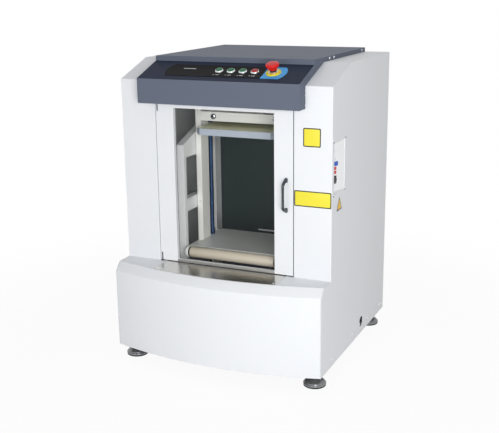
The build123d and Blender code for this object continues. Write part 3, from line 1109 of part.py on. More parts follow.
GROOVE = VBELT_THICK
with BuildPart() as flywheel:
    with BuildSketch(Plane.XY) as wheel_half:
        with BuildLine():
            half = PULLEY_WIDTH / 2
            Polyline((SHAFT_R, -half), (FLYWHEEL_R, -half), (FLYWHEEL_R, -VBELT_WIDTH / 2),
                     (FLYWHEEL_R - GROOVE, -VBELT_WIDTH / 2 + 2), (FLYWHEEL_R - GROOVE, VBELT_WIDTH / 2 - 2),
                     (FLYWHEEL_R, VBELT_WIDTH / 2), (FLYWHEEL_R, half), (SHAFT_R, half), close=True)
        make_face()
    add(Solid.revolve(wheel_half.sketch.faces()[0], 360, Axis.Y).rotate(Axis.Z, -90).moved(
        Location((FLYWHEEL_X + half, crank_y, shaft_z))))
    with BuildSketch(Plane.YZ.offset(FLYWHEEL_X - 1)):
        with Locations((crank_y, shaft_z)):
            with PolarLocations(FLYWHEEL_R * 0.56, 5):
                Circle(19)
    extrude(amount=PULLEY_WIDTH + 2, mode=Mode.SUBTRACT)
save(flywheel, "flywheel")

pedestal_top = shaft_z - 32
with BuildPart() as shaft_supports:
    # two pillow blocks, each bolted on its own folded pedestal
    for block_x in (40.0, 150.0):
        with BuildSketch(Plane.YZ.offset(block_x)):
            with Locations((crank_y, shaft_z)):
                Circle(28)
            outline([(crank_y - 44, shaft_z - 32), (crank_y + 44, shaft_z - 32), (crank_y + 44, shaft_z - 20),
                     (crank_y + 26, shaft_z - 8), (crank_y - 26, shaft_z - 8), (crank_y - 44, shaft_z - 20)])
            with Locations((crank_y, shaft_z)):
                Circle(SHAFT_R + RUNNING, mode=Mode.SUBTRACT)
        extrude(amount=30)
    for block_x in (35.0, 145.0):
        with BuildSketch(Plane.YZ.offset(block_x)):
            outline([(crank_y - 70, FLOOR_Z), (crank_y - 50, pedestal_top), (crank_y + 50, pedestal_top),
                     (crank_y + 70, FLOOR_Z)])
            outline([(crank_y - 64, FLOOR_Z), (crank_y - 45, pedestal_top - 6),
                     (crank_y + 45, pedestal_top - 6), (crank_y + 64, FLOOR_Z)], mode=Mode.SUBTRACT)
        extrude(amount=40)
save(shaft_supports, "shaft_supports")

MOTOR_SPAN = (-190.0, 12.0)
MOTOR_SHAFT_R = 11.0
FIN_COUNT = 9
FIN_PITCH = 16.0
FIN_START = 34.0
FIN_THICK = 3.0
FIN_HEIGHT = 5.0
with BuildPart() as drive_motor:
    rod_x(MOTOR_SPAN, crank_y, MOTOR_Z, MOTOR_R)
    for fin in range(FIN_COUNT):
        fin_x = MOTOR_SPAN[0] + FIN_START + fin * FIN_PITCH
        rod_x((fin_x, fin_x + FIN_THICK), crank_y, MOTOR_Z, MOTOR_R + FIN_HEIGHT)
    rod_x((MOTOR_SPAN[1] - 1, MOTOR_SPAN[1] + 8), crank_y, MOTOR_Z, MOTOR_R * 0.55)
    block((-150, -30), (crank_y - 58, crank_y + 58), (FLOOR_Z, FLOOR_Z + 8))
    block((-150, -30), (crank_y - 36, crank_y + 36), (FLOOR_Z, MOTOR_Z - MOTOR_R + 12))
    block((-130, -60), (crank_y - 30, crank_y + 30), (MOTOR_Z + MOTOR_R - 6, MOTOR_Z + MOTOR_R + 22))
save(drive_motor, "drive_motor")

with BuildPart() as motor_pulley:
    with BuildSketch(Plane.XY) as pulley_half:
        with BuildLine():
            half = PULLEY_WIDTH / 2
            Polyline((0, -half), (MOTOR_PULLEY_R, -half), (MOTOR_PULLEY_R, -VBELT_WIDTH / 2),
                     (MOTOR_PULLEY_R - GROOVE, -VBELT_WIDTH / 2 + 2), (MOTOR_PULLEY_R - GROOVE, VBELT_WIDTH / 2 - 2),
                     (MOTOR_PULLEY_R, VBELT_WIDTH / 2), (MOTOR_PULLEY_R, half), (0, half), close=True)
        make_face()
    add(Solid.revolve(pulley_half.sketch.faces()[0], 360, Axis.Y).rotate(Axis.Z, -90).moved(
        Location((FLYWHEEL_X + half, crank_y, MOTOR_Z))))
    rod_x((MOTOR_SPAN[1] + 8.5, FLYWHEEL_X + 1), crank_y, MOTOR_Z, MOTOR_SHAFT_R)
save(motor_pulley, "motor_pulley")

belt_big = FLYWHEEL_R - GROOVE + BELT_GAP
belt_small = MOTOR_PULLEY_R - GROOVE + BELT_GAP
belt_mid_x = FLYWHEEL_X + PULLEY_WIDTH / 2
belt_half = VBELT_WIDTH / 2 - 2 - BELT_GAP
pulley_apart = shaft_z - MOTOR_Z
wrap = (belt_big - belt_small) / pulley_apart


def belt_loop(grow, mode):
    """Face inside the belt's run round both pulleys, grown outwards by an amount."""
    big = belt_big + grow
    small = belt_small + grow
    run = (1 - wrap ** 2) ** 0.5
    with Locations((crank_y, shaft_z)):
        Circle(big, mode=mode)
    with Locations((crank_y, MOTOR_Z)):
        Circle(small, mode=mode)
    with BuildLine() as edge_path:
        Polyline((crank_y - big * run, shaft_z - big * wrap), (crank_y + big * run, shaft_z - big * wrap),
                 (crank_y + small * run, MOTOR_Z - small * wrap),
                 (crank_y - small * run, MOTOR_Z - small * wrap), close=True)
    make_face(edge_path.line.edges(), mode=mode)


with BuildPart() as drive_belt:
    with BuildSketch(Plane.YZ.offset(belt_mid_x - belt_half)):
        belt_loop(VBELT_THICK, Mode.ADD)
        belt_loop(0, Mode.SUBTRACT)
    extrude(amount=2 * belt_half)
save(drive_belt, "drive_belt")

# ---- Control enclosure -------------------------------------------------------------------
ENCLOSURE_X = 230.0
ENCLOSURE_THICK = 20.0
ENCLOSURE_DEPTHS = (400.0, 560.0)
ENCLOSURE_Z = (560.0, 800.0)
BRACKET_DEPTHS = (420.0, 540.0)
BRACKET_Z = 600.0
BRACKET_THICK = 3.0
with BuildPart() as control_enclosure:
    block((ENCLOSURE_X, ENCLOSURE_X + ENCLOSURE_THICK), (depth(ENCLOSURE_DEPTHS[0]), depth(ENCLOSURE_DEPTHS[1])),
          ENCLOSURE_Z)
    fillet(control_enclosure.edges().filter_by(Axis.X), 3)
    block((ENCLOSURE_X + ENCLOSURE_THICK, SIDE_X - SHEET), (depth(BRACKET_DEPTHS[0]), depth(BRACKET_DEPTHS[1])),
          (BRACKET_Z, BRACKET_Z + BRACKET_THICK))
save(control_enclosure, "control_enclosure")
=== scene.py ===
"""Finishes and visual pieces of a floor-standing clamping paint shaker, dressed over its CAD frame.

Every sub-assembly is a class: its dataclass fields hold the sizes, in metres, and its dress() method
builds the pieces, gives them their finish and rides them on the CAD body that carries them.
"""
import json
import logging
import math
from collections.abc import Callable, Iterable, Sequence
from dataclasses import dataclass
from enum import Enum

import bmesh
import bpy
from mathutils import Matrix, Vector

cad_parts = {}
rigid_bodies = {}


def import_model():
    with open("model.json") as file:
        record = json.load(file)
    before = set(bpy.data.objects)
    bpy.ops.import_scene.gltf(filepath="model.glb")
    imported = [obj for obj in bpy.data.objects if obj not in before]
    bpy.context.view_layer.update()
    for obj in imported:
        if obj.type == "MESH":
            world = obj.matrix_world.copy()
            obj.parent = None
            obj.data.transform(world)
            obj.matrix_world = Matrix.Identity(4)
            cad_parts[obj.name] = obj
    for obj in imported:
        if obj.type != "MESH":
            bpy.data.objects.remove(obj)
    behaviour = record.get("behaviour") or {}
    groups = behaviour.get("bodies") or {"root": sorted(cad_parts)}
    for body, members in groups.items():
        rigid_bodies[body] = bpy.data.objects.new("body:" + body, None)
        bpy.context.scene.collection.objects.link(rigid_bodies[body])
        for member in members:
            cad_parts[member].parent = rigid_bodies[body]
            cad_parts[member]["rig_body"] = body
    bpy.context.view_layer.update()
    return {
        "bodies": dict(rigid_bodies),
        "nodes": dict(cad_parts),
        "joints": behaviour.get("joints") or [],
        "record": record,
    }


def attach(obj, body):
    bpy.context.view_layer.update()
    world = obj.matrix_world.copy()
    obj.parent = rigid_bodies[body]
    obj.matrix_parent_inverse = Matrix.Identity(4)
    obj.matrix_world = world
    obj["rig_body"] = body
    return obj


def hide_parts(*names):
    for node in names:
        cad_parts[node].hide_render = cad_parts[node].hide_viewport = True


log = logging.getLogger("paint_shaker")

FASCIA_Y = -0.239
SIDE_X = 0.380
BACK_Y = 0.386

ACROSS = Vector((1, 0, 0))
FRONT = Vector((0, -1, 0))
BACKWARD = Vector((0, 1, 0))
UP = Vector((0, 0, 1))
AT_ORIGIN = Matrix.Identity(4)
SIDES = (("left", -1), ("right", 1))

Node = bpy.types.Node
Socket = bpy.types.NodeSocket
Tree = bpy.types.NodeTree
Piece = bpy.types.Object
Shape = bmesh.types.BMesh
Face = bmesh.types.BMFace
Points = Sequence[tuple[float, float]]


def behind(depth: float) -> float:
    """Row-frame y of a place that lies the given depth behind the fascia."""
    return FASCIA_Y + depth


# ---- Finishes ----------------------------------------------------------------------------


class Surface(Enum):
    """Kinds of surface, each with its own shader."""

    POWDER = "powder coat"
    METAL = "bare or plated metal"
    SATIN = "dull sheet metal"
    PLASTIC = "moulded plastic"
    RUBBER = "rubber"
    FILM = "printed film"
    PANE = "clear pane"


METALLIC = {Surface.METAL: 1.0, Surface.SATIN: 0.45}


@dataclass(frozen=True)
class Finish:
    """One finish, with its colour in sRGB and its texture at real size.

    Attributes:
        name: material name.
        surface: kind of surface.
        colour: sRGB colour, 0 to 255.
        roughness: middle roughness.
        spread: how far the roughness drifts over the surface.
        drift: strength of the slow colour drift.
        grain: texture's height in metres.
        grain_scale: texture's cells per metre.
        stretch: how the texture is stretched along X, Y and Z, for brushed metal.
        dust: share of settled dust on faces that look up.
        gloss: strength of the mirror-like sheen of what isn't metal.
    """

    name: str
    surface: Surface
    colour: tuple[int, int, int]
    roughness: float = 0.42
    spread: float = 0.06
    drift: float = 0.04
    grain: float = 0.00002
    grain_scale: float = 420.0
    stretch: tuple[float, float, float] = (1.0, 1.0, 1.0)
    dust: float = 0.0
    gloss: float = 0.4


def moulded(name: str, colour: tuple[int, int, int], roughness: float, drift: float,
            gloss: float = 0.4) -> Finish:
    """Moulded plastic with a fine, shallow texture."""
    return Finish(name, Surface.PLASTIC, colour, roughness, 0.05, drift, 0.00001, 900.0, gloss=gloss)


def film(name: str, colour: tuple[int, int, int], roughness: float) -> Finish:
    """Thin printed film, hardly textured."""
    return Finish(name, Surface.FILM, colour, roughness, 0.05, 0.02, 0.000006, 1500.0)


COVER_WHITE = Finish("cover_white", Surface.POWDER, (238, 240, 243), 0.40, 0.05, 0.02)
# Painted shade: the same white sheet as the covers, a little darker and greener where it faces into the
# cabinet.
COVER_INSIDE_SHADE = Finish("cover_inside", Surface.POWDER, (228, 232, 230), 0.50, 0.05, 0.04)
# Painted shade: the rear cover's inner side is painted dark green-grey for the shade deep inside the cabinet.
BACK_INSIDE_SHADE = Finish("back_inside", Surface.POWDER, (50, 68, 68), 0.62, 0.04, 0.05, 0.00001)
HOOD_SLATE = Finish("hood_slate", Surface.POWDER, (103, 110, 125), 0.52, 0.05, 0.03, gloss=0.10)
CONSOLE_SLATE = Finish("console_slate", Surface.POWDER, (46, 52, 70), 0.52, 0.05, 0.03, gloss=0.06)
FRAME_GREY = Finish("frame_grey", Surface.POWDER, (196, 199, 198), 0.50, 0.06, 0.05)
BASE_BLACK = Finish("base_black", Surface.POWDER, (44, 45, 47), 0.60, 0.08, 0.15, dust=0.25)
STAND_CREAM = Finish("stand_cream", Surface.POWDER, (250, 251, 251), 0.46, 0.05, 0.04)
CRADLE_CREAM = Finish("cradle_cream", Surface.POWDER, (248, 248, 244), 0.46, 0.06, 0.05)
BRUSHED_SILL = Finish("brushed_sill", Surface.METAL, (206, 204, 200), 0.23, 0.06, 0.05, 0.000012, 260.0,
                      (0.02, 9.0, 9.0))
PLATFORM_STEEL = Finish("platform_steel", Surface.SATIN, (232, 233, 231), 0.46, 0.10, 0.08, 0.000010, 220.0,
                        (9.0, 0.03, 9.0))
KICK_STEEL = Finish("kick_steel", Surface.SATIN, (150, 149, 146), 0.36, 0.08, 0.05, 0.00001, 300.0,
                    (0.02, 9.0, 9.0))
SHAFT_STEEL = Finish("shaft_steel", Surface.SATIN, (128, 131, 134), 0.42, 0.10, 0.08, 0.00001, 400.0,
                     (0.2, 6.0, 6.0))
BRIGHT_STEEL = Finish("bright_steel", Surface.METAL, (214, 215, 217), 0.18, 0.06, 0.03, 0.000006, 700.0)
# Chrome whose dark colour is a painted reflection of dark surroundings, not the plating's own colour.
CHROME_PAINTED_DARK_REFLECTION = Finish("dark_chrome", Surface.METAL, (78, 82, 86), 0.20, 0.05, 0.04, 0.000004, 600.0)
CLAMP_KHAKI = Finish("clamp_khaki", Surface.SATIN, (238, 237, 200), 0.36, 0.10, 0.08, 0.000012, 300.0)
CLAMP_EDGE = Finish("clamp_edge", Surface.POWDER, (176, 186, 198), 0.36, 0.06, 0.05)
# Black rubber of seals and soles; also used as painted shade in the gaps beside the door.
SEAL_BLACK_AND_SHADE = Finish("seal_black", Surface.RUBBER, (30, 31, 32), 0.62, 0.08, 0.10, 0.00002, 900.0)
FOOT_DARK = Finish("foot_dark", Surface.SATIN, (132, 133, 135), 0.28, 0.10, 0.10, 0.00001, 350.0)
ROLLER_BEIGE = Finish("roller_beige", Surface.RUBBER, (213, 203, 184), 0.55, 0.10, 0.12, 0.00003, 500.0)
POCKET_WHITE = Finish("pocket_white", Surface.PLASTIC, (252, 253, 254), 0.30, 0.04, 0.01, 0.00001, gloss=0.9)
WHITE_MOULDED = moulded("white_moulded", (238, 238, 234), 0.32, 0.02)
BLACK_MOULDED = Finish("black_moulded", Surface.PLASTIC, (36, 37, 39), 0.40, 0.08, 0.05, 0.00002, 900.0)
OVERLAY_FILM = Finish("overlay_film", Surface.FILM, (13, 13, 15), 0.55, 0.05, 0.04, 0.000008, 1500.0,
                      gloss=0.08)
STOP_BLUE = Finish("stop_blue", Surface.FILM, (58, 168, 240), 0.40, 0.05, 0.03, 0.000008, 1500.0)
STOP_YELLOW = moulded("stop_yellow", (242, 220, 22), 0.36, 0.03, 0.2)
STOP_RED = moulded("stop_red", (222, 16, 20), 0.34, 0.04, 0.2)
BUTTON_GREEN = moulded("button_green", (4, 104, 62), 0.30, 0.04, 0.15)
BUTTON_RED = moulded("button_red", (176, 14, 14), 0.30, 0.04, 0.15)
SCREW_BLUE = Finish("screw_blue", Surface.METAL, (52, 84, 126), 0.34, 0.12, 0.12, 0.00001, 500.0)
BELT_BLACK = Finish("belt_black", Surface.RUBBER, (32, 32, 33), 0.66, 0.08, 0.10, 0.00003, 800.0)
MOTOR_BLUE = Finish("motor_blue", Surface.POWDER, (58, 82, 108), 0.44, 0.08, 0.08, dust=0.2)
CAST_GREY = Finish("cast_grey", Surface.POWDER, (112, 116, 119), 0.60, 0.10, 0.14, 0.00012, 260.0, dust=0.15)
PLATE_YELLOW = film("plate_yellow", (246, 232, 66), 0.36)
PLATE_AMBER = film("plate_amber", (240, 192, 24), 0.36)
PLATE_BORDER = film("plate_border", (30, 28, 22), 0.45)
CAPTION_WHITE = Finish("caption_white", Surface.FILM, (226, 228, 232), 0.42, 0.04, 0.02, 0.000006, 1500.0)
PATCH_RED = film("patch_red", (206, 48, 50), 0.36)
PATCH_BLUE = film("patch_blue", (52, 96, 196), 0.36)
CLEAR_PANE = Finish("clear_pane", Surface.PANE, (236, 242, 243), 0.03, 0.0, 0.0, 0.0, 100.0)

SLOT_FINISH: dict[str, Finish] = {
    "covers": COVER_WHITE, "hood_paint": HOOD_SLATE, "frame_steel": FRAME_GREY, "base_steel": BASE_BLACK,
    "cradle_paint": CRADLE_CREAM, "stainless": PLATFORM_STEEL, "bright_steel": BRIGHT_STEEL,
    "dark_chrome": CHROME_PAINTED_DARK_REFLECTION, "clamp_steel": CLAMP_KHAKI, "clear_pane": CLEAR_PANE,
    "seal_rubber": SEAL_BLACK_AND_SHADE, "foot_metal": FOOT_DARK, "roller_rubber": ROLLER_BEIGE,
    "white_plastic": WHITE_MOULDED, "black_plastic": BLACK_MOULDED, "overlay_black": OVERLAY_FILM,
    "stop_blue": STOP_BLUE, "stop_yellow": STOP_YELLOW, "stop_red": STOP_RED, "button_green": BUTTON_GREEN,
    "button_red": BUTTON_RED, "screw_blue": SCREW_BLUE, "belt_rubber": BELT_BLACK,
    "motor_paint": MOTOR_BLUE, "cast_grey": CAST_GREY,
}

NODE_FINISH: dict[str, Finish] = {"crank_shaft": SHAFT_STEEL, "cradle_pins": SHAFT_STEEL,
                                  "door_pivot_pins": CHROME_PAINTED_DARK_REFLECTION, "door_fittings": CHROME_PAINTED_DARK_REFLECTION}

CUT_FLAT = ("left_stand", "right_stand", "head_plate", "window_seal")
"""Nodes whose pierced faces are cut into triangles before their edges are rounded."""


def linear(colour: tuple[int, int, int]) -> tuple[float, float, float, float]:
    """Scene-linear colour of an sRGB colour given as 0 to 255."""
    shares = [c / 255 for c in colour]
    return tuple(s / 12.92 if s <= 0.04045 else ((s + 0.055) / 1.055) ** 2.4 for s in shares) + (1.0,)


class Wiring:
    """A node tree being wired.

    Args:
        tree: the material's or group's node tree.
    """

    def __init__(self, tree: Tree) -> None:
        self.tree = tree

    def add(self, kind: str, **values: object) -> Node:
        """Adds a node.

        Args:
            kind: node type's identifier.
            values: node properties, or input sockets where the name is one (spaces as underscores). What
                is given for a socket is its value, or the socket or node to link to it.

        Returns:
            The new node.
        """
        node = self.tree.nodes.new(kind)
        for name, value in values.items():
            socket = next((s for s in node.inputs if s.name == name.replace("_", " ")), None)
            if socket is None:
                setattr(node, name, value)
            elif isinstance(value, (Node, Socket)):
                self.join(value, socket)
            else:
                socket.default_value = value
        return node

    def join(self, start: Node | Socket, end: Socket) -> None:
        """Links a socket, or a node's first output, to a socket."""
        self.tree.links.new(start.outputs[0] if isinstance(start, Node) else start, end)

    def maths(self, operation: str, a: object, b: object) -> Socket:
        """Adds a Math node, each side a socket or a number, and returns its result."""
        node = self.tree.nodes.new("ShaderNodeMath")
        node.operation = operation
        for socket, value in zip(node.inputs, (a, b)):
            if isinstance(value, Socket):
                self.join(value, socket)
            else:
                socket.default_value = value
        return node.outputs[0]


def emptied(owner: bpy.types.Material | bpy.types.World) -> Wiring:
    """Wiring of a material's or a world's node tree, emptied first."""
    owner.use_nodes = True
    owner.node_tree.nodes.clear()
    return Wiring(owner.node_tree)


def linked(name: str, data: bpy.types.ID) -> Piece:
    """New object of some data, in the scene."""
    made = bpy.data.objects.new(name, data)
    bpy.context.scene.collection.objects.link(made)
    return made


def mesh_of(shape: Shape, name: str) -> bpy.types.Mesh:
    """Mesh of a shape, which is freed."""
    data = bpy.data.meshes.new(name)
    shape.to_mesh(data)
    shape.free()
    return data


def shader_group(name: str, inputs: Sequence[tuple[str, str, object]],
                 outputs: Sequence[tuple[str, str]]) -> tuple[Wiring, Node, Node]:
    """Starts a shader node group.

    Args:
        name: group's name.
        inputs: name, socket type and default of each input.
        outputs: name and socket type of each output.

    Returns:
        The wiring, the group's input node and its output node.
    """
    tree = bpy.data.node_groups.new(name, "ShaderNodeTree")
    for label, kind, default in inputs:
        socket = tree.interface.new_socket(label, in_out="INPUT", socket_type=kind)
        socket.default_value = default
    for label, kind in outputs:
        tree.interface.new_socket(label, in_out="OUTPUT", socket_type=kind)
    wiring = Wiring(tree)
    return wiring, wiring.add("NodeGroupInput"), wiring.add("NodeGroupOutput")


FLOAT = "NodeSocketFloat"
COLOUR = "NodeSocketColor"
VECTOR = "NodeSocketVector"
WHOLE = "NodeSocketInt"
MATERIAL = ("Material", "NodeSocketMaterial", None)
DUST = (0.42, 0.41, 0.39, 1)
"""Settled dust's colour."""
CHEEK_SHARE = 0.94
"""A louvre hood's cheeks, as a share of its sheet's reach."""
SEAT = 0.0002
"""How far a screw's or rivet's head sinks into what it holds."""


def tone_group() -> Tree:
    """Group that drifts a colour slowly over the surface and settles dust on what looks up."""
    w, start, end = shader_group(
        "surface_tone",
        [("Colour", COLOUR, (0.8, 0.8, 0.8, 1)), ("Drift", FLOAT, 0.05), ("Dust", FLOAT, 0.0)],
        [("Colour", COLOUR)])
    place = w.add("ShaderNodeTexCoord").outputs["Object"]
    cloud = w.add("ShaderNodeTexNoise", Scale=5.0, Detail=4.0, Roughness=0.6, Vector=place).outputs["Fac"]
    fine = w.add("ShaderNodeTexNoise", Scale=70.0, Detail=3.0, Roughness=0.7, Vector=place).outputs["Fac"]
    mixed = w.maths("ADD", w.maths("MULTIPLY", cloud, 0.75), w.maths("MULTIPLY", fine, 0.25))
    swing = w.maths("MULTIPLY", w.maths("SUBTRACT", mixed, 0.5), 2.0)
    level = w.maths("ADD", w.maths("MULTIPLY", swing, start.outputs["Drift"]), 1.0)
    scaled = w.add("ShaderNodeVectorMath", operation="SCALE", Scale=level)
    w.join(start.outputs["Colour"], scaled.inputs[0])
    split = w.add("ShaderNodeSeparateXYZ", Vector=w.add("ShaderNodeNewGeometry").outputs["Normal"])
    upward = w.maths("MAXIMUM", split.outputs["Z"], 0.0)
    amount = w.maths("MULTIPLY", w.maths("MULTIPLY", upward, fine), start.outputs["Dust"])
    dusty = w.add("ShaderNodeMix", data_type="RGBA")
    w.join(amount, dusty.inputs[0])
    w.join(scaled, dusty.inputs[6])
    dusty.inputs[7].default_value = DUST
    w.join(dusty.outputs[2], end.inputs["Colour"])
    return w.tree


def grain_group() -> Tree:
    """Group for a surface's fine relief and for the roughness that goes with it."""
    w, start, end = shader_group(
        "surface_grain",
        [("Scale", FLOAT, 400.0), ("Height", FLOAT, 0.00002), ("Stretch", VECTOR, (1, 1, 1)),
         ("Roughness", FLOAT, 0.4), ("Spread", FLOAT, 0.05)],
        [("Normal", VECTOR), ("Roughness", FLOAT)])
    place = w.add("ShaderNodeTexCoord").outputs["Object"]
    turned = w.add("ShaderNodeVectorMath", operation="MULTIPLY")
    w.join(place, turned.inputs[0])
    w.join(start.outputs["Stretch"], turned.inputs[1])
    grain = w.add("ShaderNodeTexNoise", Detail=3.0, Roughness=0.55, Vector=turned,
                  Scale=start.outputs["Scale"]).outputs["Fac"]
    relief = w.add("ShaderNodeBump", Strength=1.0, Height=grain, Distance=start.outputs["Height"])
    w.join(relief, end.inputs["Normal"])
    broad = w.add("ShaderNodeTexNoise", Scale=14.0, Detail=3.0, Vector=place).outputs["Fac"]
    both = w.maths("ADD", w.maths("MULTIPLY", grain, 0.5), w.maths("MULTIPLY", broad, 0.5))
    swing = w.maths("MULTIPLY", w.maths("SUBTRACT", both, 0.5), 2.0)
    rough = w.maths("ADD", w.maths("MULTIPLY", swing, start.outputs["Spread"]), start.outputs["Roughness"])
    w.join(rough, end.inputs["Roughness"])
    return w.tree


class Paintbox:
    """Builds each finish's material once and hands it out."""

    def __init__(self) -> None:
        self.tone = tone_group()
        self.grain = grain_group()
        self.made: dict[str, bpy.types.Material] = {}

    def material(self, finish: Finish) -> bpy.types.Material:
        """Material of a finish.

        Args:
            finish: the finish.

        Returns:
            Its material, built at the first call.
        """
        if finish.name in self.made:
            return self.made[finish.name]
        made = bpy.data.materials.new(finish.name)
        w = emptied(made)
        shader = w.add("ShaderNodeBsdfPrincipled")
        w.add("ShaderNodeOutputMaterial", Surface=shader)
        if finish.surface is Surface.PANE:
            self._pane(w, shader, finish)
        else:
            tone = w.add("ShaderNodeGroup", node_tree=self.tone)
            grain = w.add("ShaderNodeGroup", node_tree=self.grain)
            for node, socket, value in (
                    (tone, "Colour", linear(finish.colour)), (tone, "Drift", finish.drift),
                    (tone, "Dust", finish.dust), (grain, "Scale", finish.grain_scale),
                    (grain, "Height", finish.grain), (grain, "Stretch", finish.stretch),
                    (grain, "Roughness", finish.roughness), (grain, "Spread", finish.spread),
                    (shader, "Metallic", METALLIC.get(finish.surface, 0.0)),
                    (shader, "Specular IOR Level", finish.gloss)):
                node.inputs[socket].default_value = value
            w.join(tone, shader.inputs["Base Color"])
            w.join(grain.outputs["Roughness"], shader.inputs["Roughness"])
            w.join(grain.outputs["Normal"], shader.inputs["Normal"])
            if finish.surface is Surface.PLASTIC:
                shader.inputs["Coat Weight"].default_value = 0.2
                shader.inputs["Coat Roughness"].default_value = 0.12
        self.made[finish.name] = made
        return made

    @staticmethod
    def _pane(w: Wiring, shader: Node, finish: Finish) -> None:
        """Wires a clear pane: nearly see-through, with a sheen that grows at grazing angles."""
        shader.inputs["Base Color"].default_value = linear(finish.colour)
        shader.inputs["Roughness"].default_value = finish.roughness
        sheen = w.add("ShaderNodeLayerWeight", Blend=0.2)
        share = w.maths("MULTIPLY", sheen.outputs["Fresnel"], 0.22)
        w.join(w.maths("ADD", share, 0.006), shader.inputs["Alpha"])


# ---- Meshes ------------------------------------------------------------------------------


class Bench:
    """Builds meshes, dresses them and rides them on their bodies.
    """

    def __init__(self, frame: dict) -> None:
        self.nodes = frame["nodes"]
        self.bodies_of = {n: o["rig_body"] for n, o in self.nodes.items()}
        self.paint = Paintbox()
        self.count = 0

    def place(self, name: str, mesh: Shape, finish: Finish | Sequence[Finish], body: str,
              smooth: float | None = 32.0, replaces: Iterable[str] = ()) -> Piece:
        """Turns a bmesh into a finished piece.

        Args:
            name: piece's name.
            mesh: its shape in the row frame; it is freed.
            finish: its finish, or one for each material index.
            body: CAD body that carries it.
            smooth: edges sharper than this angle, in degrees, stay crisp; None leaves all faces flat.
            replaces: CAD nodes that it stands for.

        Returns:
            The piece.
        """
        return self.adopt(linked(name, mesh_of(mesh, name)), finish, body, smooth, replaces)

    def adopt(self, piece: Piece, finish: Finish | Sequence[Finish], body: str,
              smooth: float | None = 32.0, replaces: Iterable[str] = ()) -> Piece:
        """Dresses an existing object and rides it; the arguments are those of place()."""
        if smooth is None:
            piece.data.shade_flat()
        else:
            piece.data.shade_smooth()
            piece.data.set_sharp_from_angle(angle=math.radians(smooth))
        return self.carry(piece, finish, body, replaces)

    def carry(self, piece: Piece, finish: Finish | Sequence[Finish], body: str,
              replaces: Iterable[str] = ()) -> Piece:
        """Gives an object its finish and its body and leaves its shading as it is."""
        finishes = [finish] if isinstance(finish, Finish) else list(finish)
        for index, each in enumerate(finishes):
            if index < len(piece.data.materials):
                piece.data.materials[index] = self.paint.material(each)
            else:
                piece.data.materials.append(self.paint.material(each))
        if replaces:
            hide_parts(*replaces)
        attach(piece, body)
        self.count += 1
        log.info("piece %s on %s: %d faces", piece.name, body, len(piece.data.polygons))
        return piece

    def applied(self, piece: Piece) -> Piece:
        """Replaces an object's mesh by its evaluated one and removes its modifiers."""
        graph = bpy.context.evaluated_depsgraph_get()
        result = bpy.data.meshes.new_from_object(piece.evaluated_get(graph))
        piece.modifiers.clear()
        old = piece.data
        piece.data = result
        bpy.data.meshes.remove(old)
        result.name = piece.name
        return piece

    def softened(self, node: str, finish: Finish | Sequence[Finish], width: float = 0.0008,
                 segments: int = 2, angle: float = 32.0,
                 sort_faces: Callable[[Face], int] | None = None) -> Piece:
        """Copies a CAD node, rounds its sharp edges slightly and stands the copy for the node.

        Args:
            node: CAD node's name.
            finish: its finish, or several where sort_faces picks among them.
            width: radius of the rounded edges.
            segments: faces across each rounded edge.
            angle: edges sharper than this are rounded, in degrees.
            sort_faces: gives each face its material index.

        Returns:
            The piece.
        """
        shape = bmesh.new()
        shape.from_mesh(self.nodes[node].data)
        bmesh.ops.remove_doubles(shape, verts=shape.verts, dist=0.00002)
        bmesh.ops.dissolve_limit(shape, angle_limit=math.radians(0.6), verts=shape.verts, edges=shape.edges)
        if node in CUT_FLAT:
            bmesh.ops.triangulate(shape, faces=[face for face in shape.faces if len(face.verts) > 4])
        if sort_faces is not None:
            for face in shape.faces:
                face.material_index = sort_faces(face)
        data = mesh_of(shape, node + "_dressed")
        data.shade_smooth()
        data.set_sharp_from_angle(angle=math.radians(angle))
        piece = linked(node + "_dressed", data)
        bevel = piece.modifiers.new("edges", "BEVEL")
        bevel.width = width
        bevel.segments = segments
        bevel.limit_method = "ANGLE"
        bevel.angle_limit = math.radians(angle)
        bevel.use_clamp_overlap = True
        bevel.miter_outer = "MITER_ARC"
        evened = piece.modifiers.new("evened", "WEIGHTED_NORMAL")
        evened.mode = "FACE_AREA"
        evened.weight = 100
        evened.keep_sharp = True
        return self.carry(self.applied(piece), finish, self.bodies_of[node], [node])

    def soften_each(self, *rows: tuple[str, Finish, float]) -> None:
        """Softens several nodes, each given by its name, finish and edge radius."""
        for row in rows:
            self.softened(*row)

    def leftovers(self) -> None:
        """Gives every CAD node that still shows its slot's finish."""
        for name, node in self.nodes.items():
            slot = node.data.materials[0].name.split(".")[0] if node.data.materials else "covers"
            finish = NODE_FINISH.get(name) or SLOT_FINISH.get(slot, COVER_WHITE)
            if slot not in SLOT_FINISH:
                log.warning("node %s has an unknown slot %s", name, slot)
            node.data.materials.clear()
            node.data.materials.append(self.paint.material(finish))


def ring(shape: Shape, place: Matrix, radius: float, height: float, steps: int) -> list[bmesh.types.BMVert]:
    """Circle of new vertices round the local Z axis."""
    angles = [2 * math.pi * i / steps for i in range(steps)]
    return [shape.verts.new(place @ Vector((radius * math.cos(a), radius * math.sin(a), height)))
            for a in angles]


def lathe(profile: Points, place: Matrix, steps: int = 48) -> Shape:
    """Closed solid of revolution about the local Z axis.

    Args:
        profile: radius and height of each point, from one end of the axis to the other.
        place: local to row frame.
        steps: faces round the axis.

    Returns:
        The shape, its normals outwards.
    """
    shape = bmesh.new()
    rings = [[shape.verts.new(place @ Vector((0, 0, height)))] if radius < 1e-6
             else ring(shape, place, radius, height, steps) for radius, height in profile]
    for low, high in zip(rings, rings[1:]):
        for i in range(steps):
            unique = list(dict.fromkeys([low[i % len(low)], low[(i + 1) % len(low)],
                                         high[(i + 1) % len(high)], high[i % len(high)]]))
            if len(unique) > 2:
                shape.faces.new(unique)
    for end in (rings[0], rings[-1]):
        if len(end) > 1:
            shape.faces.new(end)
    bmesh.ops.recalc_face_normals(shape, faces=shape.faces)
    return shape


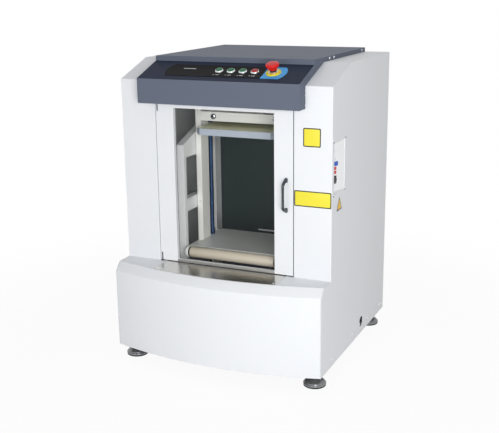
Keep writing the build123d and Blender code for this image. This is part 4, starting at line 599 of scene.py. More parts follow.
def ring_lathe(profile: Points, place: Matrix, steps: int = 48) -> Shape:
    """As lathe(), for a closed profile that never meets the axis, such as a bezel's section."""
    shape = bmesh.new()
    rings = [ring(shape, place, radius, height, steps) for radius, height in profile]
    for low, high in zip(rings, rings[1:] + rings[:1]):
        for i in range(steps):
            shape.faces.new([low[i], low[(i + 1) % steps], high[(i + 1) % steps], high[i]])
    bmesh.ops.recalc_face_normals(shape, faces=shape.faces)
    return shape


def rounded(points: Points, radius: float, steps: int = 5) -> list[tuple[float, float]]:
    """Outline with its corners rounded.

    Args:
        points: closed outline's corners.
        radius: corners' radius.
        steps: points on each corner less one.

    Returns:
        The rounded outline.
    """
    result: list[tuple[float, float]] = []
    for before, here, after in zip(points[-1:] + points[:-1], points, points[1:] + points[:1]):
        corner = Vector(here)
        back = (Vector(before) - corner).normalized()
        ahead = (Vector(after) - corner).normalized()
        reach = radius / math.tan(back.angle(ahead) / 2)
        start = corner + back * reach
        end = corner + ahead * reach
        for i in range(steps + 1):
            t = i / steps
            result.append(tuple(start * (1 - t) ** 2 + corner * 2 * t * (1 - t) + end * t ** 2))
    return result


def lifted(profile: Points, rise: float) -> list[tuple[float, float]]:
    """Profile moved along the axis."""
    return [(radius, height + rise) for radius, height in profile]


def slab(outline: Points, thick: float, place: Matrix, edge: float = 0.0) -> Shape:
    """Flat plate with a small rounded edge on its upper face.

    Args:
        outline: corners in the local XY plane, anticlockwise.
        thick: thickness along local Z.
        place: local to row frame.
        edge: width of the rounded upper edge.

    Returns:
        The shape.
    """
    shape = bmesh.new()
    low = [shape.verts.new((x, y, 0)) for x, y in outline]
    face = shape.faces.new(low)
    grown = bmesh.ops.extrude_face_region(shape, geom=[face])
    upper = [v for v in grown["geom"] if isinstance(v, bmesh.types.BMVert)]
    bmesh.ops.translate(shape, verts=upper, vec=(0, 0, thick))
    if edge > 0:
        rim = [e for e in shape.edges if all(abs(v.co.z - thick) < 1e-9 for v in e.verts)]
        bmesh.ops.bevel(shape, geom=rim, offset=edge, segments=2, affect="EDGES", profile=0.6)
    bmesh.ops.recalc_face_normals(shape, faces=shape.faces)
    bmesh.ops.transform(shape, matrix=place, verts=shape.verts)
    return shape


def rectangle(width: float, height: float) -> list[tuple[float, float]]:
    """Corners of a rectangle round the origin, anticlockwise."""
    return [(x * width / 2, y * height / 2) for x, y in ((-1, -1), (1, -1), (1, 1), (-1, 1))]


def badge(width: float, height: float, radius: float, thick: float, place: Matrix, edge: float = 0.0,
          index: int = 0) -> Shape:
    """Round-cornered rectangular slab with one material index."""
    return painted(slab(rounded(rectangle(width, height), radius), thick, place, edge), index)


def merged(shapes: Sequence[Shape]) -> Shape:
    """Joins several shapes into one; material indices are kept and the parts are freed."""
    whole = bmesh.new()
    for shape in shapes:
        data = mesh_of(shape, "part")
        whole.from_mesh(data)
        bpy.data.meshes.remove(data)
    return whole


def painted(shape: Shape, index: int) -> Shape:
    """Gives every face of a shape one material index."""
    for face in shape.faces:
        face.material_index = index
    return shape


def facing(origin: tuple[float, float, float], x_dir: Vector, z_dir: Vector) -> Matrix:
    """Local to row frame, from an origin, the local X direction and the local Z direction."""
    x_axis = x_dir.normalized()
    z_axis = z_dir.normalized()
    y_axis = z_axis.cross(x_axis)
    turn = Matrix((x_axis, y_axis, z_axis)).transposed().to_4x4()
    return Matrix.Translation(origin) @ turn


def on_front(x: float, y: float, z: float) -> Matrix:
    """Local to row frame for a place on a front face, its Z forwards and its Y up."""
    return facing((x, y, z), ACROSS, FRONT)


def sweep(points: Sequence[Vector], section: Callable[[float], tuple[float, float]], side: Vector,
          steps: int = 20) -> Shape:
    """Solid swept along points with an oval section that changes on the way.

    Args:
        points: centre line.
        section: half width along side and half thickness across it, for a share 0 to 1 of the way.
        side: direction of the section's width.
        steps: faces round the section.

    Returns:
        The shape, closed at both ends.
    """
    shape = bmesh.new()
    rings = []
    for i, point in enumerate(points):
        ahead = points[min(i + 1, len(points) - 1)] - points[max(i - 1, 0)]
        across = ahead.normalized().cross(side).normalized()
        wide, thick = section(i / (len(points) - 1))
        rings.append([shape.verts.new(point + side * wide * math.cos(2 * math.pi * k / steps)
                                      + across * thick * math.sin(2 * math.pi * k / steps))
                      for k in range(steps)])
    for low, high in zip(rings, rings[1:]):
        for k in range(steps):
            shape.faces.new([low[k], low[(k + 1) % steps], high[(k + 1) % steps], high[k]])
    shape.faces.new(rings[0])
    shape.faces.new(rings[-1])
    bmesh.ops.recalc_face_normals(shape, faces=shape.faces)
    return shape


# ---- Repeats by Geometry Nodes -----------------------------------------------------------


class Repeater:
    """Geometry Nodes trees for what repeats, turned into plain meshes.

    Args:
        bench: builds and dresses the pieces.
    """

    def __init__(self, bench: Bench) -> None:
        self.bench = bench
        self.spread_tree = self._spread_tree()
        self.louvre_tree = self._louvre_tree()
        self.thread_tree = self._thread_tree()
        self.rib_tree = self._rib_tree()

    @staticmethod
    def _start(name: str, inputs: Sequence[tuple[str, str, object]]) -> tuple[Wiring, Node, Node]:
        """Starts a tree with a Geometry input, the named inputs, a material and a Geometry output."""
        tree = bpy.data.node_groups.new(name, "GeometryNodeTree")
        tree.interface.new_socket("Geometry", in_out="INPUT", socket_type="NodeSocketGeometry")
        for label, kind, default in (*inputs, MATERIAL):
            socket = tree.interface.new_socket(label, in_out="INPUT", socket_type=kind)
            if default is not None:
                socket.default_value = default
        tree.interface.new_socket("Geometry", in_out="OUTPUT", socket_type="NodeSocketGeometry")
        w = Wiring(tree)
        return w, w.add("NodeGroupInput"), w.add("NodeGroupOutput")

    @staticmethod
    def _finish(w: Wiring, start: Node, end: Node, **links: object) -> Tree:
        """Ends a tree: instances on points, made real, then the material set."""
        copies = w.add("GeometryNodeInstanceOnPoints", **links)
        real = w.add("GeometryNodeRealizeInstances", Geometry=copies)
        dressed = w.add("GeometryNodeSetMaterial", Geometry=real, Material=start.outputs["Material"])
        w.join(dressed, end.inputs[0])
        return w.tree

    def _spread_tree(self) -> Tree:
        """Copies of one part at each point, each turned to that point's facing."""
        w, start, end = self._start("spread_parts", [
            ("Part", "NodeSocketObject", None), ("Size", FLOAT, 1.0)])
        part = w.add("GeometryNodeObjectInfo", Object=start.outputs["Part"])
        direction = w.add("GeometryNodeInputNamedAttribute", data_type="FLOAT_VECTOR", Name="facing")
        turn = w.add("FunctionNodeAlignRotationToVector", axis="Z", Vector=direction.outputs["Attribute"])
        return self._finish(w, start, end, Points=start.outputs["Geometry"],
                            Instance=part.outputs["Geometry"], Rotation=turn, Scale=start.outputs["Size"])

    def _louvre_tree(self) -> Tree:
        """Row of pressed louvre hoods: a curved sheet over each slot, closed at its ends, open below."""
        w, start, end = self._start("louvre_hoods", [
            ("Length", FLOAT, 0.12), ("Reach", FLOAT, 0.005), ("Lip", FLOAT, 0.008), ("Sheet", FLOAT, 0.001),
            ("Pitch", FLOAT, 0.018), ("Count", WHOLE, 9)])
        given = start.outputs
        half = w.maths("MULTIPLY", given["Length"], 0.5)
        inner = w.maths("SUBTRACT", half, given["Sheet"])
        tuck = w.maths("SUBTRACT", half, 0.0001)

        def swept(left: Socket, right: Socket, solid: bool) -> Node:
            """Quarter-round run between two places along X, a bare sheet or a solid cheek."""
            path = w.add("GeometryNodeCurvePrimitiveLine", Start=w.add("ShaderNodeCombineXYZ", X=left),
                         End=w.add("ShaderNodeCombineXYZ", X=right))
            arc = w.add("GeometryNodeCurveArc", mode="RADIUS", Resolution=8, Radius=1.0, Start_Angle=0.0,
                        Sweep_Angle=math.pi / 2, Connect_Center=solid)
            share = -CHEEK_SHARE if solid else -1.0
            size = w.add("ShaderNodeCombineXYZ", X=w.maths("MULTIPLY", given["Reach"], share),
                         Y=w.maths("MULTIPLY", given["Lip"], share), Z=1.0)
            shaped = w.add("GeometryNodeTransform", Geometry=arc, Scale=size)
            return w.add("GeometryNodeCurveToMesh", Curve=path, Profile_Curve=shaped, Fill_Caps=solid)

        def less(value: Socket) -> Socket:
            """The value with its sign turned."""
            return w.maths("MULTIPLY", value, -1.0)

        def together(*parts: Node) -> Node:
            """The parts' geometry joined."""
            both = w.add("GeometryNodeJoinGeometry")
            for part in parts:
                w.join(part, both.inputs[0])
            return both

        sheet = swept(less(half), half, False)
        thick = w.add("GeometryNodeExtrudeMesh", mode="FACES", Individual=False,
                      Mesh=w.add("GeometryNodeFlipFaces", Mesh=sheet), Offset_Scale=given["Sheet"])
        closed = w.add("GeometryNodeMergeByDistance", Distance=0.00001, Geometry=together(sheet, thick))
        hood = together(closed, swept(less(tuck), less(inner), True), swept(inner, tuck, True))
        row = w.add("GeometryNodeMeshLine", mode="OFFSET", Count=given["Count"],
                    Offset=w.add("ShaderNodeCombineXYZ", Z=given["Pitch"]))
        return self._finish(w, start, end, Points=row, Instance=hood)

    def _thread_tree(self) -> Tree:
        """Multi-start thread: ridges that climb round the Z axis."""
        w, start, end = self._start("thread_ridges", [
            ("Radius", FLOAT, 0.008), ("Ridge", FLOAT, 0.0012), ("Lead", FLOAT, 0.02), ("Length", FLOAT, 0.4),
            ("Starts", WHOLE, 4)])
        given = start.outputs
        spiral = w.add("GeometryNodeCurveSpiral", Resolution=18, Height=given["Length"],
                       Rotations=w.maths("DIVIDE", given["Length"], given["Lead"]),
                       Start_Radius=given["Radius"], End_Radius=given["Radius"])
        section = w.add("GeometryNodeCurvePrimitiveCircle", mode="RADIUS", Resolution=5,
                        Radius=given["Ridge"])
        ridge = w.add("GeometryNodeCurveToMesh", Fill_Caps=True, Curve=spiral, Profile_Curve=section)
        spots = w.add("GeometryNodeMeshLine", mode="OFFSET", Count=given["Starts"], Offset=(0, 0, 0))
        share = w.maths("DIVIDE", w.add("GeometryNodeInputIndex").outputs[0], given["Starts"])
        turn = w.add("ShaderNodeCombineXYZ", Z=w.maths("MULTIPLY", share, 2 * math.pi))
        return self._finish(w, start, end, Points=spots, Instance=ridge, Rotation=turn)

    def _rib_tree(self) -> Tree:
        """Rounded ribs set in a circle round the Z axis."""
        w, start, end = self._start("rib_circle", [
            ("Radius", FLOAT, 0.02), ("Rib", FLOAT, 0.0012), ("Height", FLOAT, 0.006), ("Count", WHOLE, 24)])
        given = start.outputs
        circle = w.add("GeometryNodeMeshCircle", Vertices=given["Count"], Radius=given["Radius"])
        rib = w.add("GeometryNodeMeshUVSphere", Segments=8, Rings=6, Radius=given["Rib"])
        tall = w.maths("DIVIDE", given["Height"], w.maths("MULTIPLY", given["Rib"], 2.0))
        size = w.add("ShaderNodeCombineXYZ", X=1.0, Y=1.0, Z=tall)
        return self._finish(w, start, end, Points=circle, Instance=rib, Scale=size)

    def run(self, name: str, tree: Tree, finish: Finish, body: str, place: Matrix,
            points: bpy.types.Mesh | None = None, replaces: Iterable[str] = (),
            **values: object) -> Piece:
        """Runs a tree once and makes its result a finished piece.

        Args:
            name: piece's name.
            tree: the Geometry Nodes tree.
            finish: the piece's finish.
            body: CAD body that carries it.
            place: local to row frame.
            points: mesh that the tree starts from.
            replaces: CAD nodes that the piece stands for.
            values: the tree's named inputs.

        Returns:
            The piece, a plain mesh at the origin.
        """
        piece = linked(name, points or bpy.data.meshes.new(name + "_seed"))
        maker = piece.modifiers.new("maker", "NODES")
        maker.node_group = tree
        values["Material"] = self.bench.paint.material(finish)
        for socket in tree.interface.items_tree:
            if socket.in_out == "INPUT" and socket.name in values:
                maker[socket.identifier] = values[socket.name]
        self.bench.applied(piece)
        piece.data.transform(place)
        return self.bench.adopt(piece, finish, body, 40.0, replaces)

    def spread(self, name: str, part: Shape, spots: Sequence[tuple[Vector, Vector]],
               finish: Finish, body: str, replaces: Iterable[str] = ()) -> Piece:
        """Copies of one part at spots on a body.

        Args:
            name: piece's name.
            part: the part, its outward axis along +Z; it is freed.
            spots: place and outward direction of each copy.
            finish: the copies' finish.
            body: CAD body that carries them.
            replaces: CAD nodes that they stand for.

        Returns:
            One piece with all the copies.
        """
        pattern = linked(name + "_part", mesh_of(part, name + "_part"))
        points = bpy.data.meshes.new(name + "_spots")
        points.from_pydata([tuple(place) for place, _ in spots], [], [])
        field = points.attributes.new("facing", "FLOAT_VECTOR", "POINT")
        for item, (_, direction) in zip(field.data, spots):
            item.vector = direction
        result = self.run(name, self.spread_tree, finish, body, AT_ORIGIN, points, replaces,
                          Part=pattern, Size=1.0)
        bpy.data.objects.remove(pattern)
        return result

    def thread(self, name: str, finish: Finish, body: str, place: Matrix, radius: float, lead: float,
               length: float) -> Piece:
        """Four-start thread along local Z."""
        return self.run(name, self.thread_tree, finish, body, place, Radius=radius, Ridge=0.0011, Lead=lead,
                        Length=length, Starts=4)


def cross_head(radius: float, height: float) -> Shape:
    """Domed screw head with a cross recess, its outward axis along +Z."""
    profile = [(0, -SEAT), (radius, -SEAT), (radius, height * 0.25), (radius * 0.93, height * 0.6),
               (radius * 0.7, height * 0.88), (radius * 0.42, height), (0, height)]
    body = linked("head", mesh_of(lathe(profile, AT_ORIGIN, 20), "head"))
    bars = merged([slab(rectangle(*size), height, Matrix.Translation((0, 0, height * 0.35)))
                   for size in ((radius * 1.15, radius * 0.26), (radius * 0.26, radius * 1.15))])
    cutter = linked("bars", mesh_of(bars, "bars"))
    cut = body.modifiers.new("recess", "BOOLEAN")
    cut.operation = "DIFFERENCE"
    cut.solver = "EXACT"
    cut.use_self = True
    cut.object = cutter
    graph = bpy.context.evaluated_depsgraph_get()
    result = bpy.data.meshes.new_from_object(body.evaluated_get(graph))
    shape = bmesh.new()
    shape.from_mesh(result)
    bpy.data.objects.remove(body)
    bpy.data.objects.remove(cutter)
    bpy.data.meshes.remove(result)
    return shape


# ---- Sub-assemblies ----------------------------------------------------------------------


@dataclass
class Cabinet:
    """Folded covers, feet, fasteners, sill plate and the bare plates on the covers."""

    bench: Bench
    repeat: Repeater
    cover_screw_depths: tuple[float, ...] = (0.017, 0.241, 0.425, 0.582)
    cover_screw_z: float = 0.076
    hood_screw_depths: tuple[float, ...] = (0.225, 0.268, 0.579)
    hood_screw_z: float = 1.0475
    hood_half: float = 0.288
    screw_radius: float = 0.0046
    screw_height: float = 0.0022
    sill_rivet_x: float = 0.212
    sill_rivet_depths: tuple[float, ...] = (-0.086, -0.014)
    sill_top: float = 0.3532
    foot_x: float = 0.340
    foot_depths: tuple[tuple[str, float], ...] = (("front", -0.037), ("rear", 0.565))
    louvre_length: float = 0.120
    louvre_pitch: float = 0.018
    louvre_count: int = 9
    louvre_rows_z: tuple[float, ...] = (0.240, 0.850)
    border: float = 0.0034
    doorway_half: float = 0.251

    def dress(self) -> None:
        """Builds all of the cabinet's pieces."""
        self.covers()
        self.fasteners()
        self.feet()
        self.louvres()
        self.plates()
        self.gap_strips()

    def covers(self) -> None:
        """Softens the folded covers and paints shade on their insides: a slightly darker copy of the cover
        white on the sides, a dark one on the rear.
        """
        for name, side in SIDES:

            def inside(face: Face, side: int = side) -> int:
                """Index 1 for faces that look into the cabinet, which get a slightly darker painted shade."""
                middle = face.calc_center_median()
                into = face.normal.x * side < -0.7 and abs(middle.x) > 0.27
                back = face.normal.y > 0.7 and middle.y < behind(0.02)
                return 1 if into or back else 0

            self.bench.softened(name + "_side_cover", (COVER_WHITE, COVER_INSIDE_SHADE), 0.0009, sort_faces=inside)

        def back_inside(face: Face) -> int:
            """Index 1 for the rear cover's inner side, which is painted dark as shade."""
            return 1 if face.normal.y < -0.7 else 0

        self.bench.softened("rear_cover", (COVER_WHITE, BACK_INSIDE_SHADE), 0.0005, 1, sort_faces=back_inside)
        self.bench.soften_each(("lower_front_cover", COVER_WHITE, 0.0009),
                               ("sill_plate", BRUSHED_SILL, 0.0004),
                               ("cabinet_posts", FRAME_GREY, 0.0008), ("upper_frame", FRAME_GREY, 0.0006))

    def fasteners(self) -> None:
        """Cross-headed screws of the covers and the hood, and the sill's rivets."""
        spots = []
        for side in (-1, 1):
            out = Vector((side, 0, 0))
            spots += [(Vector((side * SIDE_X, behind(d), self.cover_screw_z)), out)
                      for d in self.cover_screw_depths]
            spots += [(Vector((side * self.hood_half, behind(d), self.hood_screw_z)), out)
                      for d in self.hood_screw_depths]
        self.repeat.spread("cover_screw_heads", cross_head(self.screw_radius, self.screw_height), spots,
                           BRIGHT_STEEL, "cabinet", ["cabinet_screws"])
        rivets = [(Vector((side * self.sill_rivet_x, behind(d), self.sill_top)), UP)
                  for side in (-1, 1) for d in self.sill_rivet_depths]
        dome = lathe([(0, -SEAT), (0.0034, -SEAT), (0.0032, 0.0005), (0.0022, 0.0011), (0, 0.0013)],
                     AT_ORIGIN, 20)
        self.repeat.spread("sill_rivets", dome, rivets, BRIGHT_STEEL, "cabinet")

    def feet(self) -> None:
        """Ridged foot pads with rubber soles."""
        profile = [(0, 0.0032), (0.0355, 0.0032), (0.0375, 0.0045), (0.0385, 0.0075), (0.0382, 0.0098),
                   (0.0362, 0.0118), (0.0352, 0.0122), (0.0338, 0.0150), (0.0328, 0.0154), (0.0300, 0.0186),
                   (0.0290, 0.0190), (0.0235, 0.0228), (0.0170, 0.0250), (0.0130, 0.0256), (0.0118, 0.0260),
                   (0.0118, 0.0270), (0.0064, 0.0270), (0, 0.0270)]
        sole = [(0, 0), (0.0365, 0), (0.0378, 0.0010), (0.0378, 0.0034), (0, 0.0034)]
        feet = [(f"{name}_{end}", Matrix.Translation((side * self.foot_x, behind(depth), 0)))
                for name, side in SIDES for end, depth in self.foot_depths]
        pads, soles = (merged([lathe(shape, place, 56) for _, place in feet]) for shape in (profile, sole))
        self.bench.place("foot_pad_domes", pads, FOOT_DARK, "cabinet", 40.0, ["foot_pads"])
        self.bench.place("foot_soles", soles, SEAL_BLACK_AND_SHADE, "cabinet")
        for name, place in feet:
            self.repeat.thread("foot_thread_" + name, BRIGHT_STEEL, "cabinet",
                               place @ Matrix.Translation((0, 0, 0.0275)), 0.0060, 0.006, 0.022)

    def louvres(self) -> None:
        """Pressed louvre hoods over the rear cover's slots."""
        for level, row_z in zip(("low", "high"), self.louvre_rows_z):
            for name, side in SIDES:
                low_z = row_z - (self.louvre_count - 1) / 2 * self.louvre_pitch - 0.005
                place = facing((side * self.louvre_length * 0.75, BACK_Y - 0.0003, low_z), ACROSS, UP)
                self.repeat.run(f"louvres_{level}_{name}", self.repeat.louvre_tree, COVER_WHITE, "cabinet",
                                place, Length=self.louvre_length + 0.004, Reach=0.0055, Lip=0.012,
                                Sheet=0.0009, Pitch=self.louvre_pitch, Count=self.louvre_count)

    def plates(self) -> None:
        """Bare yellow plates with a dark border, on the right column and the right side."""
        for name, x, z, width, height in (("square_plate", 0.3115, 0.820, 0.059, 0.060),
                                          ("wide_plate", 0.315, 0.621, 0.126, 0.052)):
            border = badge(width, height, 0.0048, 0.0003, on_front(x, FASCIA_Y - 0.0001, z), 0.0001)
            face = badge(width - 2 * self.border, height - 2 * self.border, 0.0030, 0.0002,
                         on_front(x, FASCIA_Y - 0.00035, z), 0.00005, 1)
            self.bench.place(name, merged([border, face]), (PLATE_BORDER, PLATE_YELLOW), "cabinet")
        triangle = [(-0.026, -0.0165), (0.026, -0.0165), (0, 0.0285)]
        shapes = []
        for index, (share, radius, thick, out, z, edge) in enumerate((
                (1.0, 0.003, 0.0003, 0.0001, 0.592, 0.0001),
                (0.76, 0.0025, 0.0002, 0.00035, 0.5925, 0.00005))):
            outline = rounded([(x * share, y * share) for x, y in triangle], radius)
            place = facing((SIDE_X + out, behind(0.072), z), BACKWARD, ACROSS)
            shapes.append(painted(slab(outline, thick, place, edge), index))
        self.bench.place("triangle_plate", merged(shapes), (PLATE_BORDER, PLATE_AMBER), "cabinet")

    def gap_strips(self) -> None:
        """Dark strips of painted shade on the jambs, at the back of the gaps beside the door."""
        strips = [slab(rectangle(0.0062, 0.560), 0.0020,
                       on_front(side * (self.doorway_half - 0.0006), behind(0.0085), 0.6355))
                  for side in (-1, 1)]
        self.bench.place("gap_strips", merged(strips), SEAL_BLACK_AND_SHADE, "cabinet", None)


@dataclass
class Console:
    """Hood with its sloped console, overlay, push-buttons and stop button."""

    bench: Bench
    repeat: Repeater
    front_y: float = -0.288
    low_z: float = 0.991
    slope: float = math.radians(19.876)
    controls_up: float = 0.070
    buttons: tuple[tuple[str, float, Finish], ...] = (
        ("start_button", -0.015, BUTTON_GREEN), ("clamp_button", 0.027, BUTTON_GREEN),
        ("release_button", 0.069, BUTTON_GREEN), ("stop_button", 0.111, BUTTON_RED))
    stop_x: float = 0.175
    overlay_thick: float = 0.0012

    def spot(self, x: float, up: float, lift: float = 0.0) -> Matrix:
        """Local to row frame for a place on the console, its Z along the console's normal."""
        upward = Vector((0, math.cos(self.slope), math.sin(self.slope)))
        origin = Vector((x, self.front_y, self.low_z)) + upward * up + self.normal() * lift
        return facing(tuple(origin), ACROSS, self.normal())

    def normal(self) -> Vector:
        """Outward direction of the console's slope."""
        return Vector((0, -math.sin(self.slope), math.cos(self.slope)))

    def dress(self) -> None:
        """Builds all of the console's pieces."""
        self.hood()
        self.overlay()
        self.push_buttons()
        self.stop_button()

    def hood(self) -> None:
        """Softens the hood and paints its console slope darker."""

        def slope_face(face: Face) -> int:
            """Index 1 for the console's slope."""
            sloped = face.normal.dot(self.normal()) > 0.998
            return 1 if sloped and face.calc_center_median().z > self.low_z else 0

        self.bench.softened("hood", (HOOD_SLATE, CONSOLE_SLATE), 0.0012, sort_faces=slope_face)

    def overlay(self) -> None:
        """Overlay film, stop plate and short plain bars where captions would stand."""
        self.bench.softened("console_overlay", OVERLAY_FILM, 0.0003, 1)
        self.bench.softened("stop_plate", STOP_BLUE, 0.0003, 1)
        lift = self.overlay_thick + 0.00003
        bars = [badge(width, 0.0028, 0.0008, 0.00012, self.spot(x + offset, self.controls_up - 0.0265, lift))
                for _, x, _ in self.buttons for offset, width in ((-0.009, 0.004), (0.0035, 0.013))]
        self.bench.place("caption_bars", merged(bars), CAPTION_WHITE, "cabinet")
        stripe = badge(0.046, 0.0035, 0.0010, 0.00012, self.spot(-0.128, self.controls_up + 0.012, lift))
        self.bench.place("overlay_stripe", stripe, CAPTION_WHITE, "cabinet")

    def push_buttons(self) -> None:
        """Plated bezels and domed caps."""
        bezel = lifted([(0.0112, 0.0005), (0.0112, 0.0056), (0.0116, 0.0062), (0.0123, 0.0062),
                        (0.0130, 0.0054), (0.0136, 0.0036), (0.0142, 0.0030), (0.0145, 0.0022),
                        (0.0145, 0.0002), (0.0130, 0.0001)], self.overlay_thick)
        rings = [ring_lathe(bezel, self.spot(x, self.controls_up), 40) for _, x, _ in self.buttons]
        self.bench.place("button_bezels", merged(rings), BRIGHT_STEEL, "cabinet")
        cap = lifted([(0, 0.001), (0.0109, 0.001), (0.0109, 0.0070), (0.0106, 0.0078), (0.0098, 0.0083),
                      (0.0070, 0.0088), (0.0035, 0.0091), (0, 0.0092)], self.overlay_thick)
        for name, x, finish in self.buttons:
            shape = lathe(cap, self.spot(x, self.controls_up), 40)
            self.bench.place(name + "_cap", shape, finish, name, 40.0, [name])

    def stop_button(self) -> None:
        """Mushroom head with grip ribs, its collar and the yellow disc."""
        place = self.spot(self.stop_x, self.controls_up)
        disc = lifted([(0.0112, 0), (0.0112, 0.0026), (0.0120, 0.0034), (0.0232, 0.0034), (0.0243, 0.0028),
                       (0.0249, 0.0016), (0.0250, 0)], self.overlay_thick)
        self.bench.place("stop_disc", ring_lathe(disc, place, 64), STOP_YELLOW, "cabinet")
        collar = lifted([(0.0114, 0.001), (0.0114, 0.0068), (0.0120, 0.0073), (0.0140, 0.0073),
                         (0.0146, 0.0068), (0.0146, 0.0052), (0.0154, 0.0048), (0.0154, 0.0036),
                         (0.0118, 0.0034)], self.overlay_thick)
        self.bench.place("stop_collar", ring_lathe(collar, place, 48), BRIGHT_STEEL, "cabinet")
        base = self.overlay_thick + 0.004 + 0.009
        head = lifted([(0, 0), (0.0148, 0), (0.0158, 0.0008), (0.0166, 0.0036), (0.0178, 0.0068),
                       (0.0194, 0.0096), (0.0207, 0.0112), (0.0213, 0.0124), (0.0215, 0.0140),
                       (0.0214, 0.0162), (0.0208, 0.0178), (0.0194, 0.0190), (0.0168, 0.0197),
                       (0.0120, 0.0200), (0.0060, 0.0201), (0, 0.0201)], base)
        self.bench.place("stop_mushroom", lathe(head, place, 72), STOP_RED, "stop_head", 40.0, ["stop_head"])
        grip = place @ Matrix.Translation((0, 0, base + 0.0148))
        self.repeat.run("stop_grip_ribs", self.repeat.rib_tree, STOP_RED, "stop_head", grip, Radius=0.0211,
                        Rib=0.0009, Height=0.0052, Count=30)


@dataclass
class Door:
    """Framed door: frame, clear pane, seal and handle."""

    bench: Bench
    window_half: float = 0.1825
    handle_x: float = 0.224
    handle_low: float = 0.574
    handle_high: float = 0.679
    reach: float = 0.033

    def dress(self) -> None:
        """Builds the door's pieces."""

        def edge(face: Face) -> int:
            """Index 1 for the shut edge, painted black as shade for the shade of the gap beside it."""
            return 1 if face.normal.x > 0.9 and face.calc_center_median().x > 0.245 else 0

        # The door frame's shut edge takes the seal black as painted shade.
        self.bench.softened("door_frame", (COVER_WHITE, SEAL_BLACK_AND_SHADE), 0.0006, sort_faces=edge)
        self.bench.softened("window_seal", SEAL_BLACK_AND_SHADE, 0.0004, 1)
        strip = badge(2 * self.window_half, 0.0078, 0.0006, 0.0010,
                      on_front(0, FASCIA_Y - 0.0001, 0.3590), 0.0004)
        self.bench.place("door_kick_strip", strip, KICK_STEEL, "door")
        self.handle()

    def handle(self) -> None:
        """Bow handle, slim in the middle and flared at its feet."""
        middle = (self.handle_low + self.handle_high) / 2
        half = (self.handle_high - self.handle_low) / 2
        points = []
        for i in range(49):
            t = -1 + 2 * i / 48
            rise = min((1 - abs(t)) / 0.34, 1.0)
            out = (self.reach - 0.0038) * math.sin(rise * math.pi / 2)
            points.append(Vector((self.handle_x, FASCIA_Y - out, middle + half * t)))

        def section(share: float) -> tuple[float, float]:
            """Half width and half thickness along the bow."""
            end = abs(2 * share - 1)
            return 0.0044 + 0.0016 * end ** 4, 0.0034 + 0.0030 * end ** 3

        bow = sweep(points, section, ACROSS, 28)
        feet = [badge(0.0105, 0.0160, 0.0045, 0.0013, on_front(self.handle_x, FASCIA_Y, z), 0.0005)
                for z in (self.handle_low + 0.003, self.handle_high - 0.003)]
        # The bow's dark chrome colour is painted reflection.
        self.bench.place("handle_bow", merged([bow, *feet]), CHROME_PAINTED_DARK_REFLECTION, "door", 40.0, ["door_handle"])


